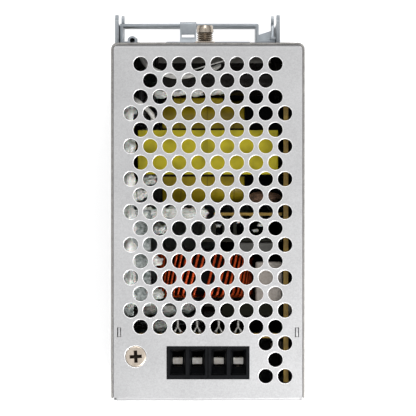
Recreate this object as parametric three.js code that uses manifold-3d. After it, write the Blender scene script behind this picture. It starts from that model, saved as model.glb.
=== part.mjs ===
// A DIN-rail power supply: a folded sheet-metal case with perforated ends, screw-clamp terminals,
// the boards and wound parts inside it, and a spring-loaded rail clip on its back.
//
// Millimetres. X runs across the width, +Y points from the front panel to the rail, +Z is up.
// Inside this file y = 0 is the outside of the back wall and z = 0 the underside. The exported
// group is moved so that its origin is at the middle of the whole part's underside.
import * as THREE from "three";
import { mergeVertices } from "three/addons/utils/BufferGeometryUtils.js";
import Module from "manifold-3d";

const wasm = await Module();
wasm.setup();

// ---------------------------------------------------------------- driving dimensions
const caseWidth = 63;
const caseDepth = 116.5;
const caseHeight = 125.2;
const gap = 0.1; // between sheets that lie against each other
const slideGap = 0.3; // between pieces that move past each other
const seatGap = 0.05; // under a piece that is clamped down

const coverSheet = 0.7;
const coverBend = 2.2; // outer radius of the cover's two long bends
const coverSetback = 0.9; // how far the cover's free edges stop short of the front
const coverRecess = 0.2; // how far the cover's rims lie below the end plates

const plateSheet = 1;
const frontLip = 5; // the end plates' folded front edge
const rearLip = 8; // and their folded rear edge
const plateBend = 1;

const ventRadius = 2.35;
const ventPitch = 6.26; // across the width
const ventRow = 5.34; // from row to row
const ventRows = 17;
const firstVentRow = 7; // from the back wall to the first row
const ventMargin = 6.4; // from a side of the case to the outermost column, at least
const ventSides = 6;
const sideVentRows = 3; // the short rows beside the terminals

const railWidth = 35; // top-hat rail, lip edge to lip edge
const railLip = 1;
const clipSheet = 1.2; // the bracket
const slideSheet = 1; // the latch slider
const seatHeight = 8; // rail face above the back wall
const hookTop = 10.6;
const clawTop = 11.8;
const latchTravel = 5;
const bracketLeft = 0.5 - caseWidth / 2;
const bracketRight = caseWidth / 2 - 7.5;

const poleSpacing = 6.35;
const clampScrewRadius = 1.45;
const clampScrewHead = 2.6;

const boardThickness = 1.6;
const boardStandOff = 6.1; // from the end plates' side edges to the main board's component side
const frontBoardY = 20.3; // front face of the terminal board, from the front of the case

// ---------------------------------------------------------------- places worked out from them
const innerX = caseWidth / 2 - coverSheet; // inside face of a side wall
const plateHalf = innerX - gap; // half the width of the end plates and the front panel
const front = -caseDepth;
const plateRear = -coverSheet - gap;
const mainBoardX = plateHalf - boardStandOff;
const railZ = caseHeight / 2; // the rail's centre line
const boardFrontFace = front + frontBoardY;
const boardRearFace = boardFrontFace + boardThickness;

// ---------------------------------------------------------------- materials
const material = (color, roughness, metalness) =>
  new THREE.MeshStandardMaterial({ color, roughness, metalness });
const finishes = {
  caseSteel: material(0xc9cacb, 0.45, 0.85),
  clipSteel: material(0xb4b8bc, 0.35, 0.95),
  plated: material(0xd9cfc2, 0.3, 0.95),
  aluminium: material(0xc4c8ca, 0.4, 0.9),
  blackPlastic: material(0x161719, 0.5, 0),
  whitePlastic: material(0xe4e3de, 0.5, 0),
  board: material(0x1d4a33, 0.5, 0),
  insulator: material(0xd8d3bf, 0.6, 0),
  ferrite: material(0x2b2b2c, 0.7, 0),
  yellowTape: material(0xc8bb2b, 0.4, 0),
  copper: material(0xa8401a, 0.3, 0.6),
  canSleeve: material(0x1d1b1a, 0.35, 0),
  greyEpoxy: material(0xa39d96, 0.6, 0),
  brownCeramic: material(0x6b4a33, 0.7, 0),
  lens: material(0x3fae4a, 0.2, 0),
};

// ---------------------------------------------------------------- shape helpers
function toSolid(geometry) {
  const bare = geometry.index ? geometry.toNonIndexed() : geometry.clone();
  bare.deleteAttribute("normal");
  bare.deleteAttribute("uv");
  const merged = mergeVertices(bare, 1e-4);
  return new wasm.Manifold(
    new wasm.Mesh({
      numProp: 3,
      vertProperties: merged.attributes.position.array,
      triVerts: new Uint32Array(merged.index.array),
    }),
  );
}

function toGeometry(solid) {
  const mesh = solid.getMesh();
  const geometry = new THREE.BufferGeometry();
  geometry.setAttribute("position", new THREE.BufferAttribute(mesh.vertProperties, 3));
  geometry.setIndex(new THREE.BufferAttribute(mesh.triVerts, 1));
  geometry.computeVertexNormals();
  return geometry;
}

// A box from three [low, high] spans.
function box(x, y, z) {
  const geometry = new THREE.BoxGeometry(x[1] - x[0], y[1] - y[0], z[1] - z[0]);
  geometry.translate((x[0] + x[1]) / 2, (y[0] + y[1]) / 2, (z[0] + z[1]) / 2);
  return toSolid(geometry);
}

// Where an outline's two coordinates and its length go. Along X the coordinates are (y, z), along Y
// (z, x) and along Z (x, y).
const turns = {
  x: new THREE.Matrix4().set(0, 0, 1, 0, 1, 0, 0, 0, 0, 1, 0, 0, 0, 0, 0, 1),
  y: new THREE.Matrix4().set(0, 1, 0, 0, 0, 0, 1, 0, 1, 0, 0, 0, 0, 0, 0, 1),
  z: new THREE.Matrix4(),
};

function extrude(axis, shape, span, curveSegments = 6) {
  const geometry = new THREE.ExtrudeGeometry(shape, {
    depth: span[1] - span[0],
    bevelEnabled: false,
    curveSegments,
  });
  geometry.translate(0, 0, span[0]);
  geometry.applyMatrix4(turns[axis]);
  return toSolid(geometry);
}

function outline(points) {
  return new THREE.Shape(points.map(([u, v]) => new THREE.Vector2(u, v)));
}

// A straight round bar along an axis; centre holds the other two coordinates in the order of turns.
function bar(axis, radius, span, centre, sides = 12) {
  const shape = new THREE.Shape();
  for (let i = 0; i < sides; i++) {
    const angle = ((i + 0.5) * 2 * Math.PI) / sides;
    const u = centre[0] + radius * Math.cos(angle);
    const v = centre[1] + radius * Math.sin(angle);
    if (i === 0) shape.moveTo(u, v);
    else shape.lineTo(u, v);
  }
  return extrude(axis, shape, span);
}

const join = (first, ...rest) => rest.reduce((whole, piece) => whole.add(piece), first);
const cut = (first, ...rest) => rest.reduce((whole, piece) => whole.subtract(piece), first);

function part(name, solid, finish) {
  const mesh = new THREE.Mesh(toGeometry(solid), finish);
  mesh.name = name;
  return mesh;
}

// A wire bent round a helix about a Z axis, with a flat closed turn at each end.
class SpringCurve extends THREE.Curve {
  constructor(radius, wire, turnCount, length) {
    super();
    Object.assign(this, { radius, wire, turnCount, length });
  }
  getPoint(t, target = new THREE.Vector3()) {
    const angle = 2 * Math.PI * this.turnCount * t;
    const rise = this.wire / 2 + (this.length - this.wire) * t;
    return target.set(this.radius * Math.cos(angle), this.radius * Math.sin(angle), rise);
  }
}

// ---------------------------------------------------------------- case
// The cover is one sheet: a side, the back and the other side.
function coverSolid() {
  const half = caseWidth / 2;
  const free = front + coverSetback;
  const inner = coverBend - coverSheet;
  const shape = new THREE.Shape();
  shape.moveTo(-half, free);
  shape.lineTo(-innerX, free);
  shape.lineTo(-innerX, -coverBend);
  shape.absarc(-half + coverBend, -coverBend, inner, Math.PI, Math.PI / 2, true);
  shape.lineTo(half - coverBend, -coverSheet);
  shape.absarc(half - coverBend, -coverBend, inner, Math.PI / 2, 0, true);
  shape.lineTo(innerX, free);
  shape.lineTo(half, free);
  shape.lineTo(half, -coverBend);
  shape.absarc(half - coverBend, -coverBend, coverBend, 0, Math.PI / 2, false);
  shape.lineTo(-half + coverBend, 0);
  shape.absarc(-half + coverBend, -coverBend, coverBend, Math.PI / 2, Math.PI, false);
  const sheet = extrude("z", shape, [coverRecess, caseHeight - coverRecess], 4);
  const holes = bracketScrews.map(({ x, z }) =>
    bar("y", bracketScrewRadius + gap, [-2 * coverSheet, coverSheet], [z, x]),
  );
  holes.push(bar("y", earthRadius + gap, [-2 * coverSheet, coverSheet], [earthZ, earthX]));
  holes.push(bar("y", slideRivetRadius + gap, [-2 * coverSheet, coverSheet], [slideRivetZ, slideRivetX]));
  return cut(sheet, ...holes);
}

// Vent hole centres on an end plate, as [x, y]: staggered rows, one more hole in each even row but the
// second, and beside the terminals the right end of three more rows.
function ventCentres(blocksHalf) {
  const across = Math.floor((caseWidth - 2 * ventMargin) / ventPitch) + 1;
  const clear = blocksHalf + riserGap + ventRadius + 1.5;
  const centres = [];
  for (let row = 1; row <= ventRows + sideVentRows; row++) {
    const y = -firstVentRow - (row - 1) * ventRow;
    const count = row === 2 ? across - 2 : row % 2 === 0 ? across : across - 1;
    for (let i = 0; i < count; i++) {
      const x = (i - (count - 1) / 2) * ventPitch;
      if (row <= ventRows || (i >= count - 2 + (row % 2) && x > clear)) centres.push([x, y]);
    }
  }
  return centres;
}

// Everything at one end of the case is built with z = 0 on the outside of the end plate and -z inwards.
const riserFront = front + 7.2; // the terminals' raised part, which fills the end plate's opening
const riserRear = front + 17.6;
const riserGap = 0.2;
const slotY = front + 22.3; // the slots that take the front panel's tabs
const slotLength = 3.1;
const slotWidth = 1.3;
const railX = plateHalf - 1.8; // middle of the front panel's side rails
const cornerRadius = coverBend - coverSheet - gap; // the end plates' rear corners
const plateScrewX = 8 - caseWidth / 2;
const plateScrewY = front + 14.4;
const plateScrewRadius = 1.6;
const plateScrewHead = 3.4;
const plateScrewLength = 4.2;

function endPlateSolid(blocksHalf, lipHoles) {
  const arcSteps = 3;
  const profile = [];
  const corner = (cy, from) => {
    for (let i = 0; i <= arcSteps; i++) {
      const angle = from - (i * Math.PI) / 2 / arcSteps;
      profile.push([cy + plateBend * Math.cos(angle), -plateBend + plateBend * Math.sin(angle)]);
    }
  };
  profile.push([front, -frontLip]);
  corner(front + plateBend, Math.PI);
  corner(plateRear - plateBend, Math.PI / 2);
  profile.push([plateRear, -rearLip]);
  profile.push([plateRear - plateSheet, -rearLip]);
  profile.push([plateRear - plateSheet, -plateSheet]);
  profile.push([front + plateSheet, -plateSheet]);
  profile.push([front + plateSheet, -frontLip]);
  const folded = extrude("x", outline(profile.reverse()), [-plateHalf, plateHalf]);
  const through = [-2 * plateSheet, plateSheet];
  // The rear corners are rounded to fit inside the cover's bends, and the front ones are relieved.
  const corners = [-1, 1].flatMap((side) => {
    const edge = side * plateHalf;
    const cornerX = edge - side * cornerRadius;
    const rear = new THREE.Shape();
    rear.moveTo(cornerX, plateRear + 1);
    rear.lineTo(edge + side, plateRear + 1);
    rear.lineTo(edge + side, plateRear - cornerRadius);
    rear.lineTo(edge, plateRear - cornerRadius);
    const from = side > 0 ? 0 : Math.PI;
    rear.absarc(cornerX, plateRear - cornerRadius, cornerRadius, from, Math.PI / 2, side < 0);
    const frontCorner = outline([
      [edge - side * plateBend, front - 1],
      [edge + side, front - 1],
      [edge + side, front + plateBend],
      [edge, front + plateBend],
    ]);
    return [
      extrude("z", rear, [-rearLip - 1, plateSheet]),
      extrude("z", frontCorner, [-frontLip - 1, plateSheet]),
    ];
  });
  const vents = ventCentres(outputHalf).map((centre) => bar("z", ventRadius, through, centre, ventSides));
  const slots = [-railX, railX].map((x) =>
    box([x - slotWidth / 2, x + slotWidth / 2], [slotY - slotLength / 2, slotY + slotLength / 2], through),
  );
  const terminalOpening = box(
    [-blocksHalf - riserGap, blocksHalf + riserGap],
    [riserFront - riserGap, riserRear + riserGap],
    through,
  );
  const screwHole = bar("z", plateScrewHead + gap, through, [plateScrewX, plateScrewY], 16);
  const lipCuts = lipHoles.map(([x, z]) => bar("y", earthRadius + gap, [plateRear - 3, 1], [z, x]));
  const openings = [terminalOpening, screwHole, ...slots, ...lipCuts, wasm.Manifold.union(vents)];
  return cut(folded, ...corners, ...openings);
}

function plateScrewSolid() {
  const head = bar("z", plateScrewHead, [-plateSheet - gap, -seatGap], [plateScrewX, plateScrewY], 16);
  const shank = bar("z", plateScrewRadius, [-plateScrewLength, -plateSheet], [plateScrewX, plateScrewY], 8);
  const recess = [0, 1].map((turn) => {
    const long = 1.9;
    const thin = 0.45;
    const half = turn ? [thin, long] : [long, thin];
    return box(
      [plateScrewX - half[0], plateScrewX + half[0]],
      [plateScrewY - half[1], plateScrewY + half[1]],
      [-0.8, 1],
    );
  });
  return cut(join(head, shank), ...recess);
}

// The front panel: a plate between the two end lips, with a rail behind each side. Each rail's tabs
// stand in the end plates' slots, and its ears take the end plates' screws.
const railDepth = 24; // how far back the rails reach
const ledX = 8;
const potX = -4;
const controlsZ = 92; // the trimmer and the status light
const ledRadius = 1.5;
const ledStandOff = 0.6; // how far the lens stands in front of the panel
const potShaftRadius = 2.6;

function frontPanelSolid() {
  const low = frontLip + riserGap;
  const high = caseHeight - low;
  const plate = box([-plateHalf, plateHalf], [front, front + plateSheet], [low, high]);
  const pieces = [plate];
  for (const x of [-railX, railX]) {
    const span = [x - plateSheet / 2, x + plateSheet / 2];
    const inner = plateSheet + gap;
    pieces.push(box(span, [front + plateSheet / 2, front + railDepth], [low, high]));
    pieces.push(box(span, [front + plateSheet + 1, front + railDepth], [inner, caseHeight - inner]));
    const tab = [slotY - slotLength / 2 + gap, slotY + slotLength / 2 - gap];
    pieces.push(box(span, tab, [gap, caseHeight - gap]));
  }
  // The ears: the output plate's screw is on the left and the input plate's, turned over, on the right.
  const ear = (side, z) =>
    box(
      side < 0 ? [-railX, plateScrewX + 4.5] : [-plateScrewX - 4.5, railX],
      [plateScrewY - 4, plateScrewY + 4],
      z,
    );
  const earTop = [caseHeight - 2 * plateSheet - 2 * gap, caseHeight - plateSheet - 2 * gap];
  const earFoot = [plateSheet + 2 * gap, 2 * plateSheet + 2 * gap];
  pieces.push(ear(-1, earTop), ear(1, earFoot));
  const notchDepth = [front - 1, front + plateSheet + gap];
  const notch = (half, z) => box([-half - riserGap, half + riserGap], notchDepth, z);
  return cut(
    join(...pieces),
    notch(outputHalf, [caseHeight - terminalHeight - riserGap, caseHeight]),
    notch(inputHalf, [0, terminalHeight + riserGap]),
    bar("z", plateScrewRadius + gap, [caseHeight - 6, caseHeight], [plateScrewX, plateScrewY], 8),
    bar("z", plateScrewRadius + gap, [0, 6], [-plateScrewX, plateScrewY], 8),
    bar("y", ledRadius + gap, [front - 1, front + 2], [controlsZ, ledX]),
    bar("y", potShaftRadius + slideGap, [front - 1, front + 2], [controlsZ, potX]),
  );
}

// ---------------------------------------------------------------- terminals
const terminalHeight = 17;
const blockGap = 0.2;
const blockSide = 0.25; // the housing's outer wall, beyond half a pole
const twoPoleHalf = poleSpacing + blockSide;
const outputHalf = 2 * twoPoleHalf + blockGap / 2;
const inputHalf = 1.5 * poleSpacing + blockSide;
const noseHeight = terminalHeight - frontLip - 0.4;
const funnelDepth = 5;
const funnelHalfX = 2.6;
const floorThickness = 1.2;
const windowHalfX = 1.8;
const windowFront = front + 11;
const windowRear = front + 15.95;
const chamberTop = -funnelDepth - floorThickness;
const chamberHalfX = 2.75;
const chamberFront = front + 9;
const chamberRear = front + 18.7;
const screwZ = -9.7;
const clampHalfX = 2.4;
const clampHalfZ = 2.75;
const nutWall = 2.1;
const clampOpening = 3.6;
const clampFarWall = 1;
const clampSide = 0.6;
const clampFront = front + 11.75; // front of the nut wall with the clamp open
const screwTip = front + 14.05;
const shoulderY = front + 4.1;
const headDepth = 2.3;

function housingSolid(centreX, half, poles) {
  const x = [centreX - half, centreX + half];
  const riser = box(x, [riserFront, riserRear], [-terminalHeight, -riserGap]);
  const body = box(
    x,
    [front + plateSheet + riserGap, boardFrontFace - riserGap],
    [-terminalHeight, -plateSheet - riserGap],
  );
  const nose = box(x, [front + 0.5, front + 2], [-terminalHeight, -terminalHeight + noseHeight]);
  const cuts = poles.flatMap((pole) => {
    const at = (reach) => [pole - reach, pole + reach];
    const centre = [screwZ, pole];
    return [
      box(at(funnelHalfX), [riserFront + 1.1, riserRear - 0.9], [-funnelDepth, 1]),
      box(at(windowHalfX), [windowFront, windowRear], [chamberTop - 1, 0]),
      box(at(chamberHalfX), [chamberFront, chamberRear], [-terminalHeight - 1, chamberTop]),
      bar("y", clampScrewHead + slideGap, [front, shoulderY], centre),
      bar("y", clampScrewRadius + slideGap, [shoulderY - 1, chamberFront + 1], centre),
    ];
  });
  return cut(join(riser, body, nose), ...cuts);
}

function clampSolid(pole) {
  const z = [screwZ - clampHalfZ, screwZ + clampHalfZ];
  const rear = clampFront + nutWall + clampOpening;
  const frame = box([pole - clampHalfX, pole + clampHalfX], [clampFront, rear + clampFarWall], z);
  const opening = box(
    [pole - clampHalfX + clampSide, pole + clampHalfX - clampSide],
    [clampFront + nutWall, rear],
    [z[0] - 1, z[1] + 1],
  );
  const thread = bar(
    "y",
    clampScrewRadius + slideGap / 2,
    [clampFront - 1, clampFront + nutWall + 1],
    [screwZ, pole],
  );
  return cut(frame, opening, thread);
}

function clampScrewSolid(pole) {
  const centre = [screwZ, pole];
  const head = bar("y", clampScrewHead, [shoulderY - riserGap - headDepth, shoulderY - riserGap], centre);
  const shank = bar("y", clampScrewRadius, [shoulderY - riserGap - 1, screwTip], centre);
  const slot = box(
    [pole - clampScrewHead, pole + clampScrewHead],
    [front, shoulderY - riserGap - headDepth + 1],
    [screwZ - 0.45, screwZ + 0.45],
  );
  return cut(join(head, shank), slot);
}

// One end of the case, as a group that is then stood on the top or turned over for the bottom.
function endGroup(name, blocks, blocksHalf, lipHoles) {
  const group = new THREE.Group();
  group.add(part(`${name}_end_plate`, endPlateSolid(blocksHalf, lipHoles), finishes.caseSteel));
  group.add(part(`${name}_plate_screw`, plateScrewSolid(), finishes.plated));
  let count = 0;
  for (const block of blocks) {
    group.add(part(block.name, housingSolid(block.centre, block.half, block.poles), finishes.blackPlastic));
    for (const pole of block.poles) {
      count += 1;
      group.add(part(`${name}_clamp_${count}`, clampSolid(pole), finishes.plated));
      group.add(part(`${name}_clamp_screw_${count}`, clampScrewSolid(pole), finishes.plated));
    }
  }
  return group;
}

const twoPoles = (centre) => [centre - poleSpacing / 2, centre + poleSpacing / 2];
const outputBlockX = twoPoleHalf + blockGap / 2;
const outputBlocks = [
  { name: "output_terminal_left", centre: -outputBlockX, half: twoPoleHalf, poles: twoPoles(-outputBlockX) },
  { name: "output_terminal_right", centre: outputBlockX, half: twoPoleHalf, poles: twoPoles(outputBlockX) },
];
const inputBlocks = [
  { name: "input_terminal", centre: 0, half: inputHalf, poles: [-poleSpacing, 0, poleSpacing] },
];

// ---------------------------------------------------------------- rail clip
const halfRail = railWidth / 2;
const lipClearance = 0.2;
const throat = seatHeight + railLip + lipClearance; // underside of the hooks and the claws
const hookReach = 3; // how far a hook lies over the rail's upper lip
const clawReach = 2.5;
const bracketFoot = railZ - halfRail - 9.5;
const bracketHead = railZ + halfRail + 4.5;
const baseHead = railZ + halfRail + 2.5;
const baseTop = seatGap + clipSheet;
const slideFoot = baseTop + 0.2; // underside of the slider's feet
const slideTop = slideFoot + slideSheet;
const webHalf = 12; // the slider's bridge, each side of the rail's centre
const armLeft = bracketLeft + clipSheet + slideGap;
const armRight = bracketRight - clipSheet - slideGap;
const legX = bracketRight - 8; // the bridge's right leg
const tongueX = -6.6;
const tongueWidth = 5.4;
const tongueHead = railZ + webHalf + 15;
const tailHalf = 13.8;
const tailLength = 8;
const earX = bracketLeft + 5.6; // the latch spring's axis
const earRadius = 1.6;
const earHole = 0.9;
const springY = 2.3;
const springRadius = 1.25; // to the middle of the wire
const springWire = 0.6;
const springTurns = 7;
const springEar = railZ + webHalf - slideSheet; // underside of the slider's ear
const springSeat = railZ - 6; // upper face of the bracket's ear
const bracketScrewRadius = 1.5;
const bracketScrews = [
  { x: bracketLeft + 15, z: railZ + 4 },
  { x: legX - 8, z: railZ + 4 },
];
const slideRivetX = bracketLeft + 5;
const slideRivetZ = railZ - 17;
const slideRivetRadius = 1.3;
const earthX = -1;
const earthZ = caseHeight - 7.5;
const earthRadius = 1.6;

function bracketSolid() {
  const base = box([bracketLeft, bracketRight], [seatGap, baseTop], [bracketFoot, baseHead]);
  const hookRoot = railZ + halfRail + lipClearance;
  const hookTip = hookRoot + lipClearance - hookReach;
  const relief = 0.3;
  const flange = outline([
    [seatGap, bracketFoot],
    [seatHeight - 2, bracketFoot],
    [seatHeight, bracketFoot + 2],
    [seatHeight, hookTip - relief],
    [seatHeight - relief, hookTip - relief],
    [seatHeight - relief, hookRoot],
    [throat, hookRoot],
    [throat, hookTip],
    [hookTop, hookTip],
    [hookTop, bracketHead - 2],
    [hookTop - 2, bracketHead],
    [seatGap, bracketHead],
  ]);
  const keeper = box(
    [armRight - slideSheet - 0.6, bracketRight - clipSheet / 2],
    [slideTop + 0.25, slideTop + 0.25 + slideSheet],
    [railZ + 2, railZ + 8],
  );
  const earZ = [springSeat - clipSheet, springSeat];
  const ear = box([earX - 1.5, earX + 1.5], [seatGap, springY + 1.4], earZ);
  const windowZ = [springSeat, springEar + slideSheet + 0.5];
  const earWindow = box([earX - 2.3, earX + 2.3], [-1, baseTop + 1], windowZ);
  const holes = bracketScrews.map(({ x, z }) =>
    bar("y", bracketScrewRadius + gap, [0, baseTop + 1], [z, x]),
  );
  holes.push(bar("y", slideRivetRadius + gap, [0, baseTop + 1], [slideRivetZ, slideRivetX]));
  const body = join(
    base,
    extrude("x", flange, [bracketLeft, bracketLeft + clipSheet]),
    extrude("x", flange, [bracketRight - clipSheet, bracketRight]),
    keeper,
    ear,
  );
  return cut(body, earWindow, ...holes);
}

// The slider: a bridge under the rail, an arm with a claw at each side, the spring's ear and the
// release tongue.
function sliderSolid() {
  const low = bracketFoot;
  const clawRoot = railZ - halfRail - lipClearance;
  const clawTip = clawRoot + clawReach;
  const armOutline = (head) =>
    outline([
      [slideFoot, low],
      [clawTop - 3.4, low],
      [clawTop, clawRoot - 3],
      [clawTop, clawRoot - 0.4],
      [clawTop - 1, clawTip],
      [throat, clawTip],
      [throat, clawRoot],
      [seatHeight, clawRoot],
      [seatHeight, head],
      [slideFoot, head],
    ]);
  const bridgeY = [seatHeight - slideSheet, seatHeight];
  const footY = [slideFoot, slideTop];
  const bridgeZ = [railZ - webHalf, railZ + webHalf];
  const bridge = box([armLeft, legX + slideSheet], bridgeY, bridgeZ);
  const leftArm = extrude("x", armOutline(bridgeZ[1]), [armLeft, armLeft + slideSheet]);
  const rightArm = extrude("x", armOutline(railZ - 5), [armRight - slideSheet, armRight]);
  const leftFoot = box([armLeft, earX + 2.2], footY, [low, railZ - 9]);
  const rightFoot = box([legX, armRight], footY, [low, bridgeZ[1]]);
  const leg = box([legX, legX + slideSheet], [slideFoot, seatHeight], [low, bridgeZ[1]]);
  const gussetLeft = legX + slideSheet / 2;
  const gusset = extrude(
    "z",
    outline([
      [gussetLeft, slideFoot],
      [armRight - slideSheet / 2, slideFoot],
      [armRight - slideSheet / 2, 7.1],
      [gussetLeft, 5.3],
    ]),
    [low, low + slideSheet],
  );
  const earZ = [springEar, springEar + slideSheet];
  const earRing = bar("z", earRadius, earZ, [earX, springY], 16);
  const earArm = box([armLeft, earX], [slideFoot, slideFoot + 0.6], earZ);
  const earBore = bar("z", earHole, [earZ[0] - 1, earZ[1] + 1], [earX, springY]);
  const tongueSpan = [tongueX - tongueWidth / 2, tongueX + tongueWidth / 2];
  const tongue = box(tongueSpan, bridgeY, [bridgeZ[1] - 1, tongueHead]);
  const tailY = [0.4, 1.2];
  const drop = box(tongueSpan, [tailY[0], seatHeight], [tongueHead - slideSheet, tongueHead]);
  const tail = box([-tailHalf, tailHalf], tailY, [tongueHead - slideSheet, tongueHead + tailLength]);
  const bladeSlot = box([tongueX - 2.1, tongueX + 2.1], [2.9, 3.8], [tongueHead - 2, tongueHead + 1]);
  const rivetSlot = box(
    [slideRivetX - slideRivetRadius - slideGap, slideRivetX + slideRivetRadius + slideGap],
    [slideFoot - 1, slideTop + 1],
    [slideRivetZ - slideRivetRadius - slideGap, slideRivetZ + slideRivetRadius + slideGap + latchTravel],
  );
  const arms = [leftArm, rightArm, leftFoot, rightFoot, leg, gusset];
  const body = join(bridge, ...arms, earRing, earArm, tongue, drop, tail);
  return cut(body, earBore, bladeSlot, rivetSlot);
}

function springMesh() {
  const length = springEar - springSeat - 2 * seatGap;
  const wireSection = new THREE.Shape();
  wireSection.absarc(0, 0, springWire / 2, 0, 2 * Math.PI, false);
  const geometry = new THREE.ExtrudeGeometry(wireSection, {
    steps: springTurns * 12,
    extrudePath: new SpringCurve(springRadius, springWire, springTurns, length),
    curveSegments: 3,
  });
  geometry.translate(earX, springY, springSeat + seatGap);
  return part("latch_spring", toSolid(geometry), finishes.clipSteel);
}

// A rivet or screw through the bracket and the back wall: a low head and a plain shank.
function lowHeadSolid(x, z, radius, underHead, headRadius) {
  const headHeight = 0.6;
  return join(
    bar("y", headRadius, [underHead, underHead + headHeight], [z, x], 16),
    bar("y", radius, [-3, underHead + headHeight / 2], [z, x], 12),
  );
}

const slideRivetSolid = () => lowHeadSolid(slideRivetX, slideRivetZ, slideRivetRadius, slideTop + 0.15, 2.2);

// The earth screw stands half out of the back wall, ready for a ring lug, with a washer under it.
const earthWasher = 0.6;
const earthThread = 2.6;
const earthWasherRadius = earthThread + 0.75;
const earthHead = 2.75;
const earthPitch = 0.68;

function earthScrewSolid() {
  const threadTop = 3.5;
  const ridges = 4;
  const profile = [new THREE.Vector2(0, -4), new THREE.Vector2(earthRadius, -4)];
  profile.push(new THREE.Vector2(earthRadius, earthWasher + 0.2));
  const core = earthThread * 0.8;
  for (let i = 0; i < ridges; i++) {
    const base = earthWasher + 0.2 + i * earthPitch;
    profile.push(new THREE.Vector2(core, base));
    profile.push(new THREE.Vector2(earthThread, base + earthPitch / 2));
  }
  profile.push(new THREE.Vector2(core, threadTop));
  profile.push(new THREE.Vector2(earthHead, threadTop));
  profile.push(new THREE.Vector2(earthHead, threadTop + 1.2));
  profile.push(new THREE.Vector2(earthHead * 0.72, threadTop + 2.1));
  profile.push(new THREE.Vector2(0, threadTop + 2.4));
  const geometry = new THREE.LatheGeometry(profile, 12);
  geometry.translate(earthX, 0, earthZ);
  const recess = [
    [1.6, 0.4],
    [0.4, 1.6],
  ].map(([across, up]) =>
    box([earthX - across, earthX + across], [threadTop + 1.1, threadTop + 3], [earthZ - up, earthZ + up]),
  );
  return cut(toSolid(geometry), ...recess);
}

function washerSolid() {
  return cut(
    bar("y", earthWasherRadius, [seatGap, earthWasher], [earthZ, earthX], 16),
    bar("y", earthThread + gap, [-1, 1], [earthZ, earthX], 16),
  );
}

// ---------------------------------------------------------------- boards and what stands on them
const boardEdge = 4.5; // from the main board's ends to the case's ends
const componentX = mainBoardX - 0.3; // where components seat

function mainBoardSolid() {
  return box(
    [mainBoardX, mainBoardX + boardThickness],
    [front + 5.8, -3.5],
    [boardEdge, caseHeight - boardEdge],
  );
}

function frontBoardSolid() {
  return box(
    [-railX + 1.4, mainBoardX - slideGap],
    [boardFrontFace, boardRearFace],
    [boardEdge, caseHeight - boardEdge],
  );
}

const spacerPlaces = [
  [-9, 11],
  [-9, caseHeight - 11],
  [-86, 11],
  [-86, caseHeight - 11],
];

function spacerSolid([y, z]) {
  const boardOuter = mainBoardX + boardThickness;
  return bar("x", 2.6, [boardOuter + seatGap, innerX - insulatorSheet - 2 * gap], [y, z], 6);
}

const insulatorSheet = 0.4;

function insulatorSolid() {
  return box(
    [innerX - insulatorSheet - gap, innerX - gap],
    [front + railDepth + 2, -4],
    [boardEdge + 2, caseHeight - boardEdge - 2],
  );
}

// Transformer: two E cores on their side, wound on a bobbin whose axis stands off the board.
const coreY = -35.6;
const coreZ = 96;
const coreHalfX = componentX - 1.9;
const coreYoke = 7;
const coreHalfY = 7.2;
const coreHalfZ = 20.6;
const legThickness = 5.6;
const postRadius = 7.4;
const coilHalfY = 17.2;
const coilHalfZ = 14.4;
const coilCorner = 8;
const coilSpan = [coreYoke + 0.4 - coreHalfX, coreHalfX - coreYoke - 3.4];

function transformerCoreSolid() {
  const y = [coreY - coreHalfY, coreY + coreHalfY];
  const windows = [-1, 1].map((side) => {
    const near = postRadius;
    const far = coreHalfZ - legThickness;
    const z = side > 0 ? [coreZ + near, coreZ + far] : [coreZ - far, coreZ - near];
    return box([coreYoke - coreHalfX, coreHalfX - coreYoke], [y[0] - 1, y[1] + 1], z);
  });
  const whole = box([-coreHalfX, coreHalfX], y, [coreZ - coreHalfZ, coreZ + coreHalfZ]);
  return cut(whole, ...windows);
}

// The coil's section: a rectangle with wide round corners, drawn grow larger for the bobbin's flanges.
function coilSection(grow) {
  const shape = new THREE.Shape();
  const halfU = coilHalfY - coilCorner;
  const halfV = coilHalfZ - coilCorner;
  const radius = coilCorner + grow;
  shape.moveTo(coreY + halfU + radius, coreZ - halfV);
  shape.absarc(coreY + halfU, coreZ + halfV, radius, 0, Math.PI / 2, false);
  shape.absarc(coreY - halfU, coreZ + halfV, radius, Math.PI / 2, Math.PI, false);
  shape.absarc(coreY - halfU, coreZ - halfV, radius, Math.PI, 1.5 * Math.PI, false);
  shape.absarc(coreY + halfU, coreZ - halfV, radius, 1.5 * Math.PI, 2 * Math.PI, false);
  return shape;
}

function transformerCoilSolid() {
  const whole = extrude("x", coilSection(0), coilSpan);
  const bore = box(
    [coilSpan[0] - 1, coilSpan[1] + 1],
    [coreY - coreHalfY - 1.2, coreY + coreHalfY + 1.2],
    [coreZ - postRadius - 1.2, coreZ + postRadius + 1.2],
  );
  return cut(whole, bore);
}

function transformerTapeSolid() {
  const tape = 0.4;
  const ring = (grow, y) =>
    box(
      [-coreHalfX - grow, coreHalfX + grow],
      [coreY - y, coreY + y],
      [coreZ - coreHalfZ - grow, coreZ + coreHalfZ + grow],
    );
  return cut(ring(tape + gap, coreHalfY), ring(gap, coreHalfY + 1));
}

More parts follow.
